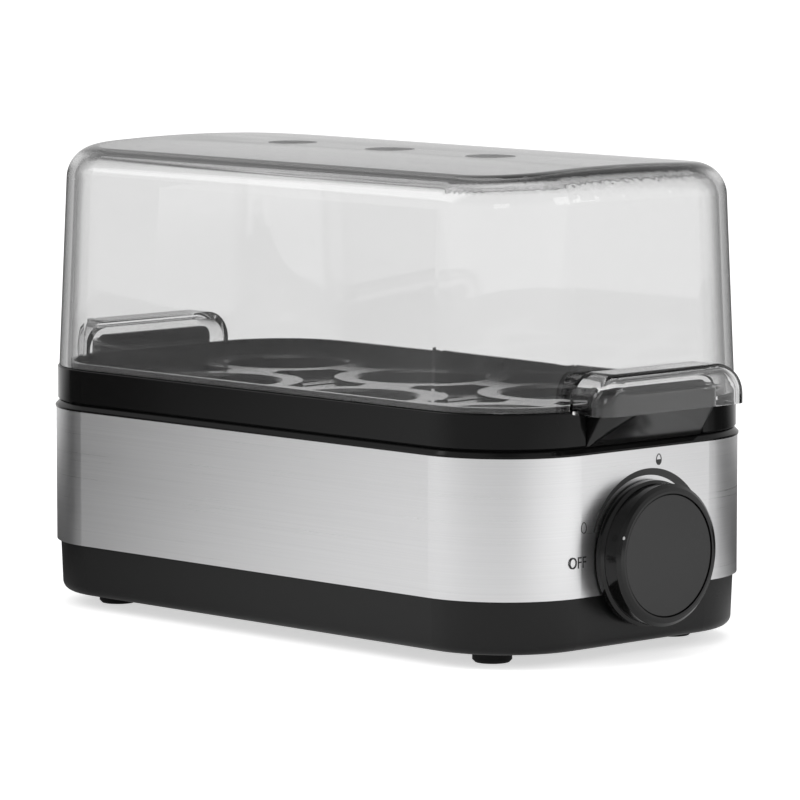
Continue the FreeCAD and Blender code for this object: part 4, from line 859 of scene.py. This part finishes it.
@dataclass
class Studio:
    """The pale floor, the soft light and the camera."""

    camera_place: tuple[float, float, float] = (1.25959, -1.20072, 0.25950)
    azimuth: float = 46.271
    elevation: float = 6.335
    lens: float = 261.4
    floor_size: float = 14.0
    floor_tones: tuple[float, float] = (0.86, 0.88)
    floor_glow: float = 0.6
    floor_far: Step = Step(0.3, 1.5, 0.1)
    sheet_glow: float = 0.25
    sheet_front: tuple[float, float] = (-0.10, 0.09)
    sheet_back: tuple[float, float] = (-0.60, -0.25)
    sheet_near: tuple[float, float] = (0.24, 0.46)
    glow_place: tuple[float, float, float] = (0.48, 0.04, 0.0)
    glow_reach: tuple[float, float] = (0.12, 0.34)
    glow_amount: float = 0.45
    ambient: float = 0.55
    dusk: float = 0.06
    walls: float = 0.92
    wall_behind: Step = Step(0.3, 0.8, 0.22)
    wall_before: Step = Step(0.15, 0.95, 0.42)
    ceiling_mirrored: Step = Step(0.35, 0.80, 0.3)
    ceiling_glazed: Step = Step(0.15, 0.55, 0.7)
    behind: tuple[float, float] = (0.82, 0.975)
    flanks: tuple[float, float] = (0.12, 0.30)
    aside: float = 0.30
    flag_place: tuple[float, float, float] = (-0.53, -0.30, 0.0)
    flag_turn: float = -40.0
    flag_width: float = 0.28
    flag_height: float = 0.26
    flag_tones: tuple[float, float] = (0.05, 0.07)
    softboxes: tuple[Softbox, ...] = (
        Softbox("key", (-0.75, -0.85, 1.05), 0.9, 4.0),
        Softbox("side", (1.25, 0.78, 0.62), 0.6, 3.0, mirrored=False),
        Softbox("top", (0.05, 0.10, 1.30), 0.9, 4.0, mirrored=False),
        Softbox("fill", (1.15, -1.35, 0.75), 0.6, 3.0, mirrored=False),
    )

    def towards_camera(self) -> Vector:
        """The direction from the object to the camera, laid level."""
        turn = math.radians(self.azimuth)
        return Vector((math.sin(turn), -math.cos(turn), 0.0))

    def camera(self) -> None:
        """Place the camera where the photograph was taken from."""
        data = bpy.data.cameras.new("camera")
        data.lens = self.lens
        data.sensor_width = 36.0
        data.clip_start = 0.05
        data.clip_end = 50.0
        made = bpy.data.objects.new("camera", data)
        lift = math.radians(self.elevation)
        back = self.towards_camera() * math.cos(lift) + Vector((0.0, 0.0, math.sin(lift)))
        made.rotation_mode = "QUATERNION"
        made.rotation_quaternion = (-back).to_track_quat("-Z", "Y")
        made.location = self.camera_place
        bpy.context.scene.collection.objects.link(made)
        bpy.context.scene.camera = made

    @staticmethod
    def rays(graph: Graph) -> tuple[Sock, Sock, Sock]:
        """Tell the kinds of rays apart.

        Args:
            graph: the nodes of the floor or of the surround.

        Returns:
            Three factors: 1 for camera rays, for rays through glass, and for mirrored rays.
        """
        straight, through, mirrored = [
            graph.add("ShaderNodeLightPath", out=ray)
            for ray in ("Is Camera Ray", "Is Transmission Ray", "Is Glossy Ray")]
        return straight, through, mirrored * (1.0 - through)

    def strips(self, graph: Graph, level: Sock) -> Sock:
        """Find the two strips beside the object that are dimmer through glass.

        Args:
            graph: the nodes of the floor or of the surround.
            level: the level direction from the object.

        Returns:
            1 in the strips, 0 behind the object and before it.
        """
        far = graph.along(level, tuple(-self.towards_camera()))
        return graph.rise(far, *self.flanks) * (1.0 - graph.rise(far, *self.behind))

    def world(self) -> None:
        """A white surround; mirrored, it is dimmer on the camera's side and overhead."""
        made = bpy.data.worlds.new("surround")
        bpy.context.scene.world = made
        made.use_nodes = True
        graph = Graph(made.node_tree)
        straight, through, mirrored = self.rays(graph)
        gaze = graph.add("ShaderNodeTexCoord", out="Generated")
        level = graph.level(gaze)
        near = graph.along(level, tuple(self.towards_camera()))
        far = graph.along(level, tuple(-self.towards_camera()))
        height = graph.along(gaze, UP)
        reflected = (self.walls - self.wall_behind.of(graph, far) - self.wall_before.of(graph, near)
                     - self.ceiling_mirrored.of(graph, height))
        glazed = ((1.0 - self.strips(graph, level) * self.aside)
                  * (1.0 - self.ceiling_glazed.of(graph, height)))
        strength = (straight + through * glazed + mirrored * reflected
                    + (1.0 - straight - through - mirrored) * self.ambient)
        light = graph.add("ShaderNodeBackground", {}, {"Color": WHITE, "Strength": strength})
        graph.surface(light, "ShaderNodeOutputWorld")

    def floor(self) -> None:
        """A pale floor that looks white and keeps the shadow; in mirrored rays it is a painted lit
        sheet with a painted bright spot and a painted dim band, and through glass it has painted
        dimmer strips.
        """
        floor = start("floor", bpy.ops.mesh.primitive_plane_add, size=self.floor_size,
                      location=ORIGIN)
        material, graph = fresh_material("floor")
        straight, through, mirrored = self.rays(graph)
        place = graph.place()
        cloud = graph.noise(place, 3.0, 2.0)
        reach = graph.vector("LENGTH", place, ORIGIN, "Value")
        # Painted reflection: a bright spot on the floor, seen only in mirrored rays, gives the
        # steel's corner its highlight.
        spot = graph.vector("DISTANCE", place, self.glow_place, "Value")
        spot_glow = (1.0 - graph.rise(spot, *self.glow_reach)) * self.glow_amount
        ahead = graph.along(place, tuple(self.towards_camera()))
        # Painted reflection: in mirrored rays the floor near the object glows as a lit sheet.
        sheet = (self.sheet_glow - graph.rise(ahead, *self.sheet_near) * self.sheet_glow
                 + spot_glow)
        lift = (self.floor_far.of(graph, reach) + self.floor_glow) * straight + mirrored * sheet
        pale = graph.principled(Base_Color=graph.varied(cloud, grey(1.0), self.floor_tones),
                                Roughness=0.9, Specular_IOR_Level=0.0,
                                Emission_Color=graph.tinted(lift, grey(0.0), grey(1.0)),
                                Emission_Strength=1.0)
        # Painted shade: seen through glass, the floor is dimmer in the strips beside the object,
        # which darkens the lid's sides.
        bright = graph.mixed(self.strips(graph, graph.level(place)),
                             graph.glow(1.0), graph.glow(1.0 - self.aside))
        seen = graph.mixed(through, pale, bright)
        # Painted shade: a dim band of floor that only mirrored rays see.
        beyond = ((1.0 - graph.rise(ahead, *self.sheet_front))
                  * graph.rise(ahead, *self.sheet_back) * mirrored)
        graph.surface(graph.mixed(beyond, seen, graph.glow(self.dusk)))
        floor.data.materials.append(material)

    def flag(self) -> None:
        """A dark card, seen in reflections only, that shades the far end of the long face."""
        card = start("flag", bpy.ops.mesh.primitive_plane_add, size=1.0, location=ORIGIN)
        turn = math.radians(self.flag_turn)
        across = Vector((math.cos(turn), math.sin(turn), 0.0)) * self.flag_width
        for vert in card.data.vertices:
            lift = Vector((0.0, 0.0, (vert.co.y + 0.5) * self.flag_height))
            vert.co = Vector(self.flag_place) + across * vert.co.x + lift
        material, graph = fresh_material("flag")
        cloud = graph.noise(graph.place(), 6.0, 2.0)
        tone = graph.varied(cloud, grey(1.0), self.flag_tones)
        graph.surface(graph.principled(Base_Color=tone, Roughness=0.9))
        card.data.materials.append(material)
        card.visible_camera = card.visible_diffuse = card.visible_transmission = False
        card.visible_shadow = False

    def build(self) -> None:
        """Set the stage."""
        self.floor()
        self.flag()
        self.world()
        for softbox in self.softboxes:
            softbox.build()
        self.camera()
        bpy.context.scene.view_settings.view_transform = "Standard"


def main() -> None:
    """Load the frame and build every sub-assembly."""
    logging.basicConfig(level=logging.INFO, format="%(message)s")
    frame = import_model()
    Interior(frame["record"], frame["nodes"]).build()
    DialMarks().build()
    Studio().build()


if __name__ == "__main__":
    main()
